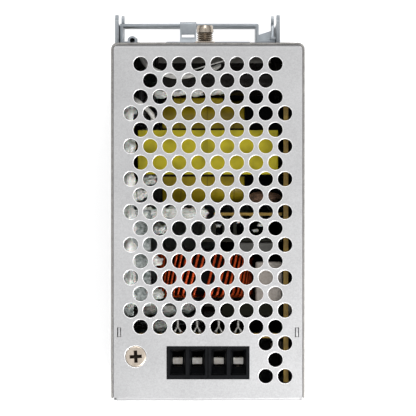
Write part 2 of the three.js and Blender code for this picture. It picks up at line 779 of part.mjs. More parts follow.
// The bobbin: a former on the core's post, a flange at each end of the coil, and two pin rails.
function bobbinSolid() {
  const flange = (x) => extrude("x", coilSection(0.3), x);
  const tube = (grow, x) =>
    box(
      x,
      [coreY - coreHalfY - grow, coreY + coreHalfY + grow],
      [coreZ - postRadius - grow, coreZ + postRadius + grow],
    );
  const flangeThickness = 0.2;
  const reach = [coilSpan[0] - flangeThickness - 0.1, coilSpan[1] + flangeThickness + 0.1];
  const rails = [-1, 1].map((side) => {
    const inner = coreY + side * (coreHalfY + 0.4);
    const outer = coreY + side * (coilHalfY - 1);
    const y = [Math.min(inner, outer), Math.max(inner, outer)];
    return box([coilSpan[1], componentX], y, [coreZ - 13, coreZ + 7]);
  });
  const solid = join(
    tube(0.9, reach),
    flange([reach[0], coilSpan[0] - 0.1]),
    flange([coilSpan[1] + 0.1, reach[1]]),
    ...rails.map((rail) => cut(rail, box([coilSpan[1] - 1, reach[1]], [-60, 0], [0, caseHeight]))),
  );
  return cut(solid, tube(0.15, [reach[0] - 1, reach[1] + 1]));
}

// Output choke: a wound toroid whose axis points from front to back. The winding leaves a short gap.
const chokeX = -1;
const chokeY = -75.6;
const chokeZ = 99.6;
const chokeOuter = 16;
const chokeHalfY = 7.9;
const windingDepth = 1.6;
const chokeInner = 6;

function ringSector(outerRadius, innerRadius, halfY, opening, segments) {
  const shape = new THREE.Shape();
  const start = opening / 2;
  const end = 2 * Math.PI - opening / 2;
  shape.absarc(chokeZ, chokeX, outerRadius, start, end, false);
  shape.absarc(chokeZ, chokeX, innerRadius, end, start, true);
  return extrude("y", shape, [chokeY - halfY, chokeY + halfY], segments);
}

function chokeCoreSolid() {
  const outer = chokeOuter - windingDepth - gap;
  const inner = chokeInner + windingDepth + gap;
  const half = chokeHalfY - windingDepth - gap;
  return cut(
    bar("y", outer, [chokeY - half, chokeY + half], [chokeZ, chokeX], 24),
    bar("y", inner, [chokeY - chokeHalfY, chokeY + chokeHalfY], [chokeZ, chokeX], 24),
  );
}

function chokeWindingSolid() {
  const opening = 0.6;
  const skin = ringSector(chokeOuter, chokeInner, chokeHalfY, opening, 24);
  const hollow = ringSector(
    chokeOuter - windingDepth,
    chokeInner + windingDepth,
    chokeHalfY - windingDepth,
    opening / 2,
    24,
  );
  return cut(skin, hollow);
}

// Capacitor cans lie along X, their rims against the main board: name, radius, length, y and z.
const cans = [
  ["bulk_capacitor_1", 6.5, 41, -10.4, 110.5],
  ["bulk_capacitor_2", 10, 41, -16, 58],
  ["output_capacitor_1", 5, 26, -89.3, 98],
  ["output_capacitor_2", 5, 26, -89.3, 86],
];

function canSolid(radius, length, y, z) {
  return bar("x", radius, [componentX - length, componentX], [y, z], 20);
}

function filmCapacitorSolid() {
  return box([chokeX + chokeOuter + 0.6, componentX], [-87.4, -71.4], [103, 116.6]);
}

function filterChokeSolid() {
  return bar("x", 11, [componentX - 20.3, componentX], [-70, 30], 20);
}

function varistorSolid() {
  return bar("y", 5.6, [-52.6, -48.4], [112, componentX - 6.1], 16);
}

// The control board stands on the main board between the transformer and the secondary heatsink.
function controlBoardSolid() {
  return box([2, componentX], [-56.3, -55.3], [70, 114]);
}

// The primary heatsink stands against the left wall, with a shelf folded over behind the output vents.
const sinkX = 1.1 - plateHalf;
const sinkSheet = 1.6;
const sinkFace = sinkX + sinkSheet + 0.2; // where the semiconductors seat

function primarySinkSolid() {
  const shelfTop = caseHeight - 7;
  const shelfZ = [shelfTop - sinkSheet, shelfTop];
  const wall = box([sinkX, sinkX + sinkSheet], [-89, -22], [22, shelfTop]);
  const shelf = box([sinkX, sinkX + 5.4], [-89, -22], shelfZ);
  const wideShelf = box([sinkX, sinkX + 11], [-86, -54.5], shelfZ);
  return join(wall, shelf, wideShelf);
}

// The secondary heatsink: a finned plate standing on the board behind the output choke.
function secondarySinkSolid() {
  const finCount = 5;
  const finPitch = 3.4;
  const left = -2;
  const height = [62, 116];
  const plate = [-64.9, -63.3];
  const fins = Array.from({ length: finCount }, (_, i) => {
    const x = left + i * finPitch;
    return box([x, x + 1.2], [plate[0], plate[1] + 5.9], height);
  });
  return join(box([left, componentX], plate, height), ...fins);
}

// Power semiconductors against the heatsinks' faces: a bridge, a switch and a diode.
const bridgeSolid = () => box([sinkFace, sinkFace + 4.8], [-44, -26], [34, 54]);
const switchSolid = () => box([sinkFace, sinkFace + 4.6], [-66, -56], [66, 86]);
const diodeSolid = () => box([6, 16], [-67.3, -65.1], [74, 92]);

// Trimmer: a square base on the terminal board and a slotted shaft that reaches the front panel.
const potBase = 5;
const potHalf = 4.8;

function potBaseSolid() {
  const shaftDepth = [boardFrontFace - potBase - 1, boardFrontFace - 1.5];
  return cut(
    box(
      [potX - potHalf, potX + potHalf],
      [boardFrontFace - potBase, boardFrontFace - seatGap],
      [controlsZ - potHalf, controlsZ + potHalf],
    ),
    bar("y", potShaftRadius + slideGap, shaftDepth, [controlsZ, potX]),
  );
}

function potShaftSolid() {
  const tip = front + 0.4;
  const slotZ = [controlsZ - potShaftRadius, controlsZ + potShaftRadius];
  return cut(
    bar("y", potShaftRadius, [tip, boardFrontFace - 1.8], [controlsZ, potX]),
    box([potX - 0.45, potX + 0.45], [tip - 1, tip + 1.2], slotZ),
  );
}

function ledSolid() {
  const lensTip = front - ledStandOff;
  return join(
    bar("y", ledRadius, [lensTip + 0.8, front + 4], [controlsZ, ledX]),
    bar("y", ledRadius * 0.7, [lensTip, front + 1], [controlsZ, ledX]),
    bar("y", ledRadius + 0.6, [front + 3.2, boardFrontFace - seatGap], [controlsZ, ledX]),
  );
}

// ---------------------------------------------------------------- assembly
const wholeDepthMiddle = (clawTop + front - ledStandOff) / 2;
const supply = new THREE.Group();
supply.position.y = -wholeDepthMiddle;

const outputEnd = endGroup("output", outputBlocks, outputHalf, [[earthX, earthZ - caseHeight]]);
outputEnd.position.z = caseHeight;
const inputEnd = endGroup("input", inputBlocks, inputHalf, []);
inputEnd.rotation.y = Math.PI;
supply.add(outputEnd, inputEnd);

const fixed = [
  ["wrap_cover", coverSolid(), finishes.caseSteel],
  ["front_panel", frontPanelSolid(), finishes.caseSteel],
  ["main_board", mainBoardSolid(), finishes.board],
  ["terminal_board", frontBoardSolid(), finishes.board],
  ["insulator_sheet", insulatorSolid(), finishes.insulator],
  ["transformer_core", transformerCoreSolid(), finishes.ferrite],
  ["transformer_coil", transformerCoilSolid(), finishes.yellowTape],
  ["transformer_tape", transformerTapeSolid(), finishes.yellowTape],
  ["transformer_bobbin", bobbinSolid(), finishes.blackPlastic],
  ["choke_core", chokeCoreSolid(), finishes.ferrite],
  ["choke_winding", chokeWindingSolid(), finishes.copper],
  ...cans.map(([name, ...place]) => [name, canSolid(...place), finishes.canSleeve]),
  ["film_capacitor", filmCapacitorSolid(), finishes.greyEpoxy],
  ["filter_choke", filterChokeSolid(), finishes.ferrite],
  ["varistor", varistorSolid(), finishes.brownCeramic],
  ["control_board", controlBoardSolid(), finishes.board],
  ["primary_heatsink", primarySinkSolid(), finishes.aluminium],
  ["secondary_heatsink", secondarySinkSolid(), finishes.aluminium],
  ["bridge_rectifier", bridgeSolid(), finishes.blackPlastic],
  ["switch_transistor", switchSolid(), finishes.blackPlastic],
  ["output_diode", diodeSolid(), finishes.blackPlastic],
  ["trimmer_base", potBaseSolid(), finishes.whitePlastic],
  ["trimmer_shaft", potShaftSolid(), finishes.whitePlastic],
  ["status_light", ledSolid(), finishes.lens],
  ["rail_bracket", bracketSolid(), finishes.clipSteel],
  ["latch_slider", sliderSolid(), finishes.clipSteel],
  ["slide_rivet", slideRivetSolid(), finishes.plated],
  ["earth_screw", earthScrewSolid(), finishes.plated],
  ["earth_washer", washerSolid(), finishes.plated],
];
for (const [name, solid, finish] of fixed) supply.add(part(name, solid, finish));

spacerPlaces.forEach((place, i) => {
  supply.add(part(`board_spacer_${i + 1}`, spacerSolid(place), finishes.whitePlastic));
});
bracketScrews.forEach(({ x, z }, i) => {
  const solid = lowHeadSolid(x, z, bracketScrewRadius, baseTop + seatGap, 2.75);
  supply.add(part(`bracket_screw_${i + 1}`, solid, finishes.plated));
});
supply.add(springMesh());

export default supply;
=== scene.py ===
"""The finished look of a DIN-rail power supply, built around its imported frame.

Shapes are drawn in millimetres in the case's own frame: y = 0 on the outside of the back wall, with the
front panel at negative y, and z = 0 on the underside. deliver() turns each into metres in the shared frame.
"""

import math

import bmesh
import bpy
from bmesh.types import BMEdge, BMFace, BMVert
from mathutils import Matrix, Vector, noise


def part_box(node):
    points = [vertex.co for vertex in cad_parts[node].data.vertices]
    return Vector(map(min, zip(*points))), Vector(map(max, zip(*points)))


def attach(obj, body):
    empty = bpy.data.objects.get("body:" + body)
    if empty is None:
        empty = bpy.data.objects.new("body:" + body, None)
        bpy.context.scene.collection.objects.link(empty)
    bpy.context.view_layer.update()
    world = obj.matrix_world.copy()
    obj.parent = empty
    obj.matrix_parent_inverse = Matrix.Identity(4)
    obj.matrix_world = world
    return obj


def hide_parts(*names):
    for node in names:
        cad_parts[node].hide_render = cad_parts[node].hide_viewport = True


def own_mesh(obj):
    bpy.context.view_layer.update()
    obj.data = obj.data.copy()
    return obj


bl_info = {
    "name": "Rail Power Supply",
    "version": (1, 0, 0),
    "blender": (4, 5, 0),
    "location": "View3D > Sidebar > Power Supply",
    "description": "Builds the fine shapes and finishes of a ventilated power supply with a rail clip",
    "category": "Object",
}

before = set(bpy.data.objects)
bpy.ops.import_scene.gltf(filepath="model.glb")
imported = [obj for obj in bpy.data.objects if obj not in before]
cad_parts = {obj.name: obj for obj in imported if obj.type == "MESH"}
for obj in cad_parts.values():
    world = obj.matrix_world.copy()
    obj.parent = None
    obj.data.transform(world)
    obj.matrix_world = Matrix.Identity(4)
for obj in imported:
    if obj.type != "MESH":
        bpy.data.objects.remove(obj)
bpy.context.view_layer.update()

MM = 0.001
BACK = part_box("wrap_cover")[1].y  # the case's back wall in the shared frame


def box_mm(node):
    """A CAD node's lowest and highest corners in the case's own frame, in millimetres."""
    low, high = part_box(node)
    shift = Vector((0, BACK, 0))
    return (low - shift) / MM, (high - shift) / MM


def box_and_middle(node):
    """The same corners, and the point midway between them."""
    low, high = box_mm(node)
    return low, high, (low + high) / 2


# ---------------------------------------------------------------- places and sizes, in millimetres
COVER_LOW, COVER_HIGH = box_mm("wrap_cover")
PLATE_LOW, PLATE_HIGH = box_mm("output_end_plate")
PANEL_HIGH = box_mm("front_panel")[1]
TERMINAL_BOARD_LOW, TERMINAL_BOARD_HIGH = box_mm("terminal_board")
HEIGHT = PLATE_HIGH.z
FRONT = PLATE_LOW.y
HALF_WIDTH = COVER_HIGH.x

COVER_SHEET = 0.7
COVER_BEND = 2.2
CORNER_RADIUS = 1.4  # the end plates' rear corners, inside the cover's bend
PLATE_SHEET = 0.94
PLATE_BEND = 1.0
FRONT_LIP = 5.0
REAR_LIP = 8.0

VENT_PITCH = 6.26
VENT_ROW = 5.34
VENT_ROWS = 17
FIRST_VENT_ROW = 7.0
SIDE_VENT_ROWS = (18, 19, 20)
SIDE_VENT_COLUMNS = ((3, 4), (3.5,), (3, 4))

RISER_FRONT = FRONT + 7.2
RISER_REAR = FRONT + 17.6
RISER_GAP = 0.2
SLOT_Y = FRONT + 22.3
SLOT_LENGTH = 3.1
SLOT_WIDTH = 1.3
RAIL_X = 28.9

SCREW_DEPTH = 9.7  # from an end plate to its clamp screws
SHOULDER = FRONT + 4.1  # what a clamp screw's head bears on
TERMINAL_HEIGHT = 17.0
EAR_HOLE = 2.2  # radius of the hole round a plate screw in the front panel's ears
LIGHT_RADIUS = 1.5
LEAD_RADIUS = 0.8
THIN_LEAD_RADIUS = 0.2
RELAY_CASE = ((10.2, 21.6), (-68.6, -65.1), (104, 117))  # seen only through the vents
CARD_LEFT = 4.6  # the insulating card's free edges
CARD_REAR = -84.6

CAMERA_SENSOR = 36
CAMERA_LENS = 426
CAMERA_HEIGHT = 1600  # above the output end
VIEW_MIDDLE = 53.8  # from the back wall to the middle of the view
SKY_HORIZON = 0.4  # the sky's strength, which grows from the horizon up
SKY_TOP = 1.0
FLOOR_GLOW = 0.28


def vent_centres():
    """The vent holes' centres on an end plate: staggered rows, then the short rows beside the terminals."""
    centres = []
    for row in range(1, VENT_ROWS + 1):
        count = 7 if row == 2 else 9 if row % 2 == 0 else 8
        y = -FIRST_VENT_ROW - (row - 1) * VENT_ROW
        centres += [((i - (count - 1) / 2) * VENT_PITCH, y) for i in range(count)]
    for row, columns in zip(SIDE_VENT_ROWS, SIDE_VENT_COLUMNS):
        y = -FIRST_VENT_ROW - (row - 1) * VENT_ROW
        centres += [(column * VENT_PITCH, y) for column in columns]
    return centres


# ---------------------------------------------------------------- settings a user would change
def rgb(code):
    """An sRGB hex value as a linear colour with alpha 1. A colour setting is linear already."""
    if not isinstance(code, str):
        return tuple(code)
    channels = [int(code[i : i + 2], 16) / 255 for i in (1, 3, 5)]
    return tuple(c / 12.92 if c <= 0.04045 else ((c + 0.055) / 1.055) ** 2.4 for c in channels) + (1.0,)


def length(label, text, default, low, high):
    """A length setting, given in millimetres and kept in metres."""
    return bpy.props.FloatProperty(
        name=label, description=text, default=default * MM, min=low * MM, max=high * MM, unit="LENGTH"
    )


def count(label, text, default, low, high):
    return bpy.props.IntProperty(name=label, description=text, default=default, min=low, max=high)


def colour(label, text, code):
    """A colour setting that starts from an sRGB hex value."""
    return bpy.props.FloatVectorProperty(
        name=label, description=text, default=rgb(code), min=0, max=1, size=4, subtype="COLOR"
    )


class SupplySizes(bpy.types.PropertyGroup):
    """Sizes of the fine detail, which the frame leaves open."""

    vent_diameter: length("Vent diameter", "Punched holes in the end plates", 4.7, 3, 5.5)
    vent_segments: count("Vent segments", "Sides of each punched hole", 28, 8, 64)
    punch_rounding: length("Punch rounding", "Rounded rim of a punched hole", 0.22, 0.05, 0.4)
    wire_diameter: length("Choke wire", "Enamelled wire of the output choke", 0.85, 0.5, 1.6)
    wire_turns: count("Choke turns", "Turns round the output choke's core", 50, 8, 80)


class SupplyColours(bpy.types.PropertyGroup):
    """Colours of the main finishes."""

    zinc: colour("Case zinc", "Zinc-coated sheet of the case", "#ADADAE")
    clip: colour("Clip zinc", "Bright zinc of the rail clip", "#A4A9AE")
    nickel: colour("Nickel", "Plated screws", "#B3A99D")
    black: colour("Black nylon", "Terminal housings and bobbin", "#0E0F12")
    tape: colour("Winding tape", "Yellow tape round the transformer", "#B8AA24")
    enamel: colour("Wire enamel", "Enamelled copper of the choke", "#DC5418")
    mask: colour("Solder mask", "Green face of the boards", "#12382A")
    laminate: colour("Laminate", "Sawn edge of the boards", "#A88A3A")
    silicone: colour("Silicone", "Fixing adhesive", "#F1F0EC")


def sizes():
    return bpy.context.scene.supply_sizes


def colours():
    return bpy.context.scene.supply_colours


# ---------------------------------------------------------------- materials
def add(tree, kind, settings=None, **inputs):
    """Adds a node with its settings, and gives each input a value or a link from another node's socket.

    An input is named with _ for each space, or given by its number as _0, _1 and so on.
    """
    item = tree.nodes.new(kind)
    for key, value in (settings or {}).items():
        setattr(item, key, value)
    for key, value in inputs.items():
        numbered = key[0] == "_" and key[1:].isdigit()
        socket = item.inputs[int(key[1:]) if numbered else key.replace("_", " ")]
        if isinstance(value, bpy.types.NodeSocket):
            tree.links.new(value, socket)
        else:
            socket.default_value = value
    return item


def start_material(name, **shader_values):
    """A material with one Principled shader, and a socket with Object coordinates in millimetres."""
    material = bpy.data.materials.new(name)
    material.use_nodes = True
    tree = material.node_tree
    tree.nodes.clear()
    shader = add(tree, "ShaderNodeBsdfPrincipled")
    for key, value in shader_values.items():
        shader.inputs[key.replace("_", " ")].default_value = value
    output = add(tree, "ShaderNodeOutputMaterial")
    tree.links.new(shader.outputs["BSDF"], output.inputs["Surface"])
    place = add(tree, "ShaderNodeTexCoord").outputs["Object"]
    scaled = add(tree, "ShaderNodeMapping", Scale=(1 / MM,) * 3, Vector=place).outputs["Vector"]
    return material, tree, shader, scaled


def colour_by(tree, shader, tone, low, high, dark, pale):
    """Sets the base colour: dark where the tone is low, pale where it is high."""
    factor = add(tree, "ShaderNodeMapRange", Value=tone, _1=low, _2=high).outputs["Result"]
    mix = add(tree, "ShaderNodeMix", {"data_type": "RGBA"}, Factor=factor, _6=rgb(dark), _7=rgb(pale))
    tree.links.new(mix.outputs[2], shader.inputs["Base Color"])


def gloss_by(tree, shader, tone, smooth, rough):
    """Sets the roughness between two values from the middle of a tone's range."""
    value = add(tree, "ShaderNodeMapRange", Value=tone, _1=0.3, _2=0.7, _3=smooth, _4=rough)
    tree.links.new(value.outputs["Result"], shader.inputs["Roughness"])


def relief_by(tree, shader, height, depth_mm, strength=1.0):
    """Raises the surface by a pattern of heights."""
    raised = add(tree, "ShaderNodeBump", Height=height, Distance=depth_mm * MM, Strength=strength)
    tree.links.new(raised.outputs["Normal"], shader.inputs["Normal"])


def mottled(name, base, dark, grain_mm, roughness, metallic=0.0, relief_mm=0.0, **extra):
    """A moulded, cast or coated surface: two close tones in soft patches, a grain and a little relief."""
    material, tree, shader, place = start_material(name, Metallic=metallic, **extra)
    patch_scale = 1 / (6 * grain_mm)
    patches = add(tree, "ShaderNodeTexNoise", Vector=place, Scale=patch_scale, Detail=3.0).outputs["Fac"]
    grain = add(tree, "ShaderNodeTexNoise", Vector=place, Scale=1 / grain_mm, Detail=2.0).outputs["Fac"]
    tone = add(tree, "ShaderNodeMath", {"operation": "ADD"}, _0=patches, _1=grain).outputs[0]
    colour_by(tree, shader, tone, 0.7, 1.3, dark, base)
    spread = 0.05
    gloss_by(tree, shader, patches, roughness - spread, roughness + spread)
    if relief_mm:
        relief_by(tree, shader, grain, relief_mm)
    return material


def zinc_sheet():
    """Electro-galvanised steel: a pale satin grey with a fine even grain, and faint lighter cloudiness."""
    # The coating's real grain is under 0.1 mm. It is drawn at 2.6 to the millimetre so that it shows.
    material, tree, shader, place = start_material("electro_galvanised_steel", Metallic=0.4)
    speckle = add(tree, "ShaderNodeTexNoise", Vector=place, Scale=2.6, Detail=3.0, Roughness=0.65)
    fine = speckle.outputs["Fac"]
    cloud = add(tree, "ShaderNodeTexNoise", Vector=place, Scale=0.05, Detail=3.0).outputs["Fac"]
    tone = add(tree, "ShaderNodeMath", {"operation": "MULTIPLY_ADD"}, _0=cloud, _1=0.5, _2=fine).outputs[0]
    colour_by(tree, shader, tone, 0.5, 1.0, "#969697", colours().zinc)
    gloss_by(tree, shader, fine, 0.42, 0.56)
    relief_by(tree, shader, fine, 0.02, 0.5)
    return material


def bright_zinc():
    """Zinc-plated pressed steel: cooler and shinier than the case, with faint long draw marks."""
    material, tree, shader, place = start_material("bright_zinc_plate", Metallic=0.85)
    drawn = add(tree, "ShaderNodeMapping", Vector=place, Scale=(1.0, 1.0, 0.3)).outputs["Vector"]
    streaks = add(tree, "ShaderNodeTexNoise", Vector=drawn, Scale=0.7, Detail=3.0, Roughness=0.6)
    marks = streaks.outputs["Fac"]
    colour_by(tree, shader, marks, 0.3, 0.7, "#989EA3", colours().clip)
    gloss_by(tree, shader, marks, 0.3, 0.42)
    relief_by(tree, shader, marks, 0.004, 0.3)
    return material


def winding_tape(name, base, dark, wrap_mm):
    """Polyester winding tape: glossy, a little uneven over what it covers, with an edge at each wrap."""
    material, tree, shader, place = start_material(name, Roughness=0.35, Specular_IOR_Level=0.2)
    swell = add(tree, "ShaderNodeTexNoise", Vector=place, Scale=0.16, Detail=2.0).outputs["Fac"]
    wraps = add(
        tree,
        "ShaderNodeTexWave",
        {"wave_type": "BANDS", "bands_direction": "X", "wave_profile": "SAW"},
        Vector=place,
        Scale=1 / wrap_mm / 3.1,  # a scale of 1 gives about 3.1 bands to the millimetre
        Distortion=0.4,
    ).outputs["Fac"]
    edge = add(tree, "ShaderNodeMapRange", Value=wraps, _1=0.93, _2=1.0).outputs["Result"]
    tone = add(tree, "ShaderNodeMath", {"operation": "MULTIPLY_ADD"}, _0=edge, _1=-0.35, _2=swell).outputs[0]
    colour_by(tree, shader, tone, 0.3, 0.62, dark, base)
    relief_by(tree, shader, tone, 0.5, 0.6)
    return material


def wire_enamel():
    """Enamelled copper: clear orange-red with sharp highlights, darker where the coat is thick."""
    return mottled("wire_enamel", colours().enamel, "#7E280A", 1.6, 0.25, metallic=0.5)


def silicone():
    """Fixing silicone: off-white, glossy and wrinkled where it skinned over."""
    glow = {"Subsurface_Weight": 0.15, "Subsurface_Scale": 0.002}
    return mottled("fixing_silicone", colours().silicone, "#B4B8B3", 2.2, 0.25, relief_mm=0.4, **glow)


def make_materials():
    """Every finish by its short name. A grain that is too fine to show is drawn as coarse as it needs to."""
    c = colours()
    matt = {"Specular_IOR_Level": 0.08}
    return {
        "case_steel": zinc_sheet(),
        # Sheared steel is bare and bright inside each punched hole; the rounded rim round it is painted
        # highlight in the same pale tone, so each hole has a pale ring.
        "cut_edge_and_highlight": mottled("sheared_edge_and_rim_highlight", "#E6E6E6", "#CFCFD0", 0.3, 0.35, metallic=0.3),
        # The sheet's edge is rough, and darker as painted shade: a thin grey line round the face.
        "edge_line_shade": mottled("sheet_edge_painted_shade", "#8A8885", "#6A6866", 0.4, 0.5, metallic=0.4),
        "clip_steel": bright_zinc(),
        # Barrel-plated nickel: warm grey, with a sharp highlight on every edge of a screw.
        "nickel": mottled("nickel_plate", c.nickel, "#8E8376", 0.5, 0.24, metallic=1.0),
        # The cross recess is painted shade: nearly black, so the cross stands out.
        "recess": mottled("recess_painted_shade", "#3A3026", "#1E1811", 0.25, 0.5, Specular_IOR_Level=0.15),
        # Nickel on a flat head: paler and more even than on the ridged screws.
        "bright_nickel": mottled("bright_nickel_plate", "#C9BEB1", "#B2A698", 0.5, 0.3, metallic=0.95),
        # Dipped tin: a soft white that shows pale inside the dark funnels.
        "tin": mottled("tin_plate", "#FFFDF8", "#E6DFD4", 0.8, 0.4, metallic=0.15),
        # Nylon from a spark-eroded mould: deep black with hardly any shine.
        "black": mottled("black_nylon", c.black, "#070809", 0.35, 0.5, relief_mm=0.02, **matt),
        # Natural moulded nylon: milky, and soft at thin edges.
        "white": mottled(
            "natural_nylon", "#E2E0D8", "#C9C6BC", 0.6, 0.45, relief_mm=0.02, Subsurface_Weight=0.1
        ),
        # Solder mask over copper: dark green under a clear gloss.
        "mask": mottled("solder_mask", c.mask, "#0C2A1E", 1.5, 0.3, Coat_Weight=0.4),
        # Sawn glass epoxy: ochre, dry, and specked by the cut fibres.
        "laminate": mottled("glass_epoxy_edge", c.laminate, "#7C6024", 0.25, 0.55, relief_mm=0.05),
        # Pressed fibre sheet: matt straw colour.
        "fibre": mottled("insulating_fibre", "#B9AE8A", "#9A8F6C", 0.5, 0.7, relief_mm=0.03),
        "tape": winding_tape("yellow_tape", c.tape, "#8F8518", 40.0),
        # The coil's tape is darker than the core's: painted shade on the coil, which stands deeper.
        "coil_tape": winding_tape("tape_with_painted_shade", "#A08C16", "#7A6812", 9.0),
        # Sintered ferrite: matt black, like fired clay.
        "ferrite": mottled("sintered_ferrite", "#131212", "#0A0A0A", 0.3, 0.6, relief_mm=0.03, **matt),
        "enamel": wire_enamel(),
        # The ring's dipped coating: black, so that the turns of wire stand out on it.
        "core_paint": mottled("core_coating", "#080707", "#040404", 0.5, 0.5, **matt),
        # Shrunk vinyl: dark, with a soft shine along each can.
        "sleeve": mottled("vinyl_sleeve", "#15120F", "#090807", 3.0, 0.25, Specular_IOR_Level=0.15),
        # The sleeve's printed stripe: a flat mid grey.
        "stripe": mottled("sleeve_stripe", "#8F8C86", "#77746E", 2.0, 0.3),
        # Drawn aluminium: pale, with a satin shine on a can's end.
        "can": mottled("drawn_aluminium", "#D6D8DA", "#B7BABD", 0.4, 0.28, metallic=0.9, relief_mm=0.01),
        # Cast filled epoxy: warm grey, dry and even.
        "grey_box": mottled("filled_epoxy", "#A79F97", "#8F8881", 0.8, 0.5, relief_mm=0.05),
        # Dipped and cured coating: brown and lumpy.
        "ceramic": mottled("dipped_coating", "#8A6850", "#261811", 0.5, 0.55, relief_mm=0.5),
        # Mill-finish aluminium, with painted reflection: pale streaks beside dark ones in its colour,
        # standing in for what it reflects.
        "sink": mottled("aluminium_painted_reflection", "#C4C9C8", "#59625E", 0.9, 0.3, metallic=0.8, relief_mm=0.1),
        # Black-anodised aluminium: brownish black with little shine.
        "black_sink": mottled("black_anodised", "#23231A", "#16160F", 0.8, 0.4, Specular_IOR_Level=0.2),
        "silicone": silicone(),
        # Frozen solder: bright grey cones that look wet.
        "solder": mottled("tin_solder", "#D9D7D2", "#9C9A95", 0.6, 0.25, metallic=0.9, relief_mm=0.05),
        # Varnished card: black and matt.
        "card": mottled("dark_insulating_card", "#18180F", "#101009", 0.8, 0.7, Specular_IOR_Level=0.1),
        # Moulded relay case: a plain mid grey.
        "grey_case": mottled("grey_relay_case", "#54534F", "#474642", 1.0, 0.5),
        # Soft vinyl lead covers: smooth, one even tone with a broad shine.
        "lead_black": mottled("black_lead_cover", "#141416", "#0C0C0D", 1.0, 0.4),
        "lead_white": mottled("white_lead_cover", "#DAD9D6", "#BDBBB6", 1.0, 0.4),
        # Moulded lens: glossy green, and lighter where light passes through.
        "lens": mottled("green_lens", "#4FBF5A", "#2F8F3C", 1.0, 0.15, Transmission_Weight=0.4),
    }


MATERIALS = {}


# ---------------------------------------------------------------- mesh helpers
def deliver(bm, name, finish, body="case", replaces=(), sharp=32, tidy=True):
    """Turns a mesh in millimetres into a finished piece in the shared frame. finish is one name or more."""
    if tidy:
        bmesh.ops.remove_doubles(bm, verts=bm.verts, dist=1e-4)
        bmesh.ops.recalc_face_normals(bm, faces=bm.faces)
    bmesh.ops.scale(bm, vec=(MM, MM, MM), verts=bm.verts)
    bmesh.ops.translate(bm, vec=(0, BACK, 0), verts=bm.verts)
    mesh = bpy.data.meshes.new(name)
    bm.to_mesh(mesh)
    bm.free()
    for key in [finish] if isinstance(finish, str) else finish:
        mesh.materials.append(MATERIALS[key])
    mesh.polygons.foreach_set("use_smooth", [True] * len(mesh.polygons))
    mesh.set_sharp_from_angle(angle=math.radians(sharp))
    piece = bpy.data.objects.new(name, mesh)
    bpy.context.scene.collection.objects.link(piece)
    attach(piece, body)
    if replaces:
        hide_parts(*replaces)
    return piece


def transform(bm, matrix, verts=None):
    bmesh.ops.transform(bm, matrix=matrix, verts=verts or bm.verts)


def merge_in(bm, other, matrix=Matrix.Identity(4)):
    """Adds another mesh to this one and frees it."""
    transform(other, matrix)
    held = bpy.data.meshes.new("held")
    other.to_mesh(held)
    other.free()
    bm.from_mesh(held)
    bpy.data.meshes.remove(held)


def only(items, kind):
    """The vertices, edges or faces among an operator's results."""
    return [item for item in items if isinstance(item, kind)]


def add_loop(bm, points, z=0.0):
    """A closed loop of edges through (x, y) points at height z."""
    verts = [bm.verts.new((x, y, z)) for x, y in points]
    return [bm.edges.new((verts[i - 1], verts[i])) for i in range(len(verts))]


def pull(bm, edges, offset):
    """Extrudes edges, moves the new ones by offset, and returns them."""
    made = bmesh.ops.extrude_edge_only(bm, edges=edges)["geom"]
    bmesh.ops.translate(bm, vec=offset, verts=only(made, BMVert))
    return only(made, BMEdge)


def fit_loop(edges, spans, z):
    """Moves a loop of edges so that it fills the spans ((x0, x1), (y0, y1)) at height z."""
    verts = {v for e in edges for v in e.verts}
    for axis, (low, high) in enumerate(spans):
        old_low = min(v.co[axis] for v in verts)
        old_high = max(v.co[axis] for v in verts)
        for v in verts:
            v.co[axis] = low + (v.co[axis] - old_low) / (old_high - old_low) * (high - low)
    for v in verts:
        v.co.z = z


def rectangle(x, y):
    return [(x[0], y[0]), (x[1], y[0]), (x[1], y[1]), (x[0], y[1])]


def slab(outline, holes, openings, thickness, rim=0.2, segments=28):
    """A sheet from z = 0 down, with round holes (x, y, radius) whose rims are rounded, and cut openings."""
    bm = bmesh.new()
    edges = []
    for points in (outline, *openings):
        edges += add_loop(bm, points)
    pull(bm, edges, (0, 0, -thickness))
    for x, y, radius in holes:
        section = [
            (radius + rim, 0),
            (radius + 0.3 * rim, -0.3 * rim),
            (radius, -rim),
            (radius, rim - thickness),
            (radius + 0.3 * rim, 0.3 * rim - thickness),
            (radius + rim, -thickness),
        ]
        ring = turned(section, segments)
        # Each hole's ring takes the second finish, which on the case is bare steel inside and painted
        # highlight on the rounded rim.
        for face in ring.faces:
            face.material_index = 1
        merge_in(bm, ring, Matrix.Translation((x, y, 0)))
    for height in (0.0, -thickness):
        rim_edges = [e for e in bm.edges if all(abs(v.co.z - height) < 1e-5 for v in e.verts)]
        bmesh.ops.triangle_fill(bm, use_beauty=True, use_dissolve=False, edges=rim_edges, normal=(0, 0, 1))
    return bm


def fold(bm, inside, centre, axis, steps=5):
    """Turns the flat end faces that inside() picks through a right angle, and returns the new end faces."""
    faces = [f for f in bm.faces if all(inside(v.co) for v in f.verts)]
    made = bmesh.ops.spin(bm, geom=faces, cent=centre, axis=axis, angle=math.pi / 2, steps=steps)
    return only(made["geom_last"], BMFace)


def push(bm, faces, offset):
    """Extrudes faces by an offset."""
    made = bmesh.ops.extrude_face_region(bm, geom=faces)["geom"]
    bmesh.ops.translate(bm, vec=offset, verts=only(made, BMVert))
    return only(made, BMFace)


def block(bm, x, y, z, rounding=0.15, segments=2):
    """A box between three spans, with rounded edges."""
    made = bmesh.ops.create_cube(bm, size=1)["verts"]
    bmesh.ops.scale(bm, vec=(x[1] - x[0], y[1] - y[0], z[1] - z[0]), verts=made)
    bmesh.ops.translate(bm, vec=((x[0] + x[1]) / 2, (y[0] + y[1]) / 2, (z[0] + z[1]) / 2), verts=made)
    if rounding:
        edges = list({e for v in made for e in v.link_edges})
        round_off(bm, edges, rounding, segments)


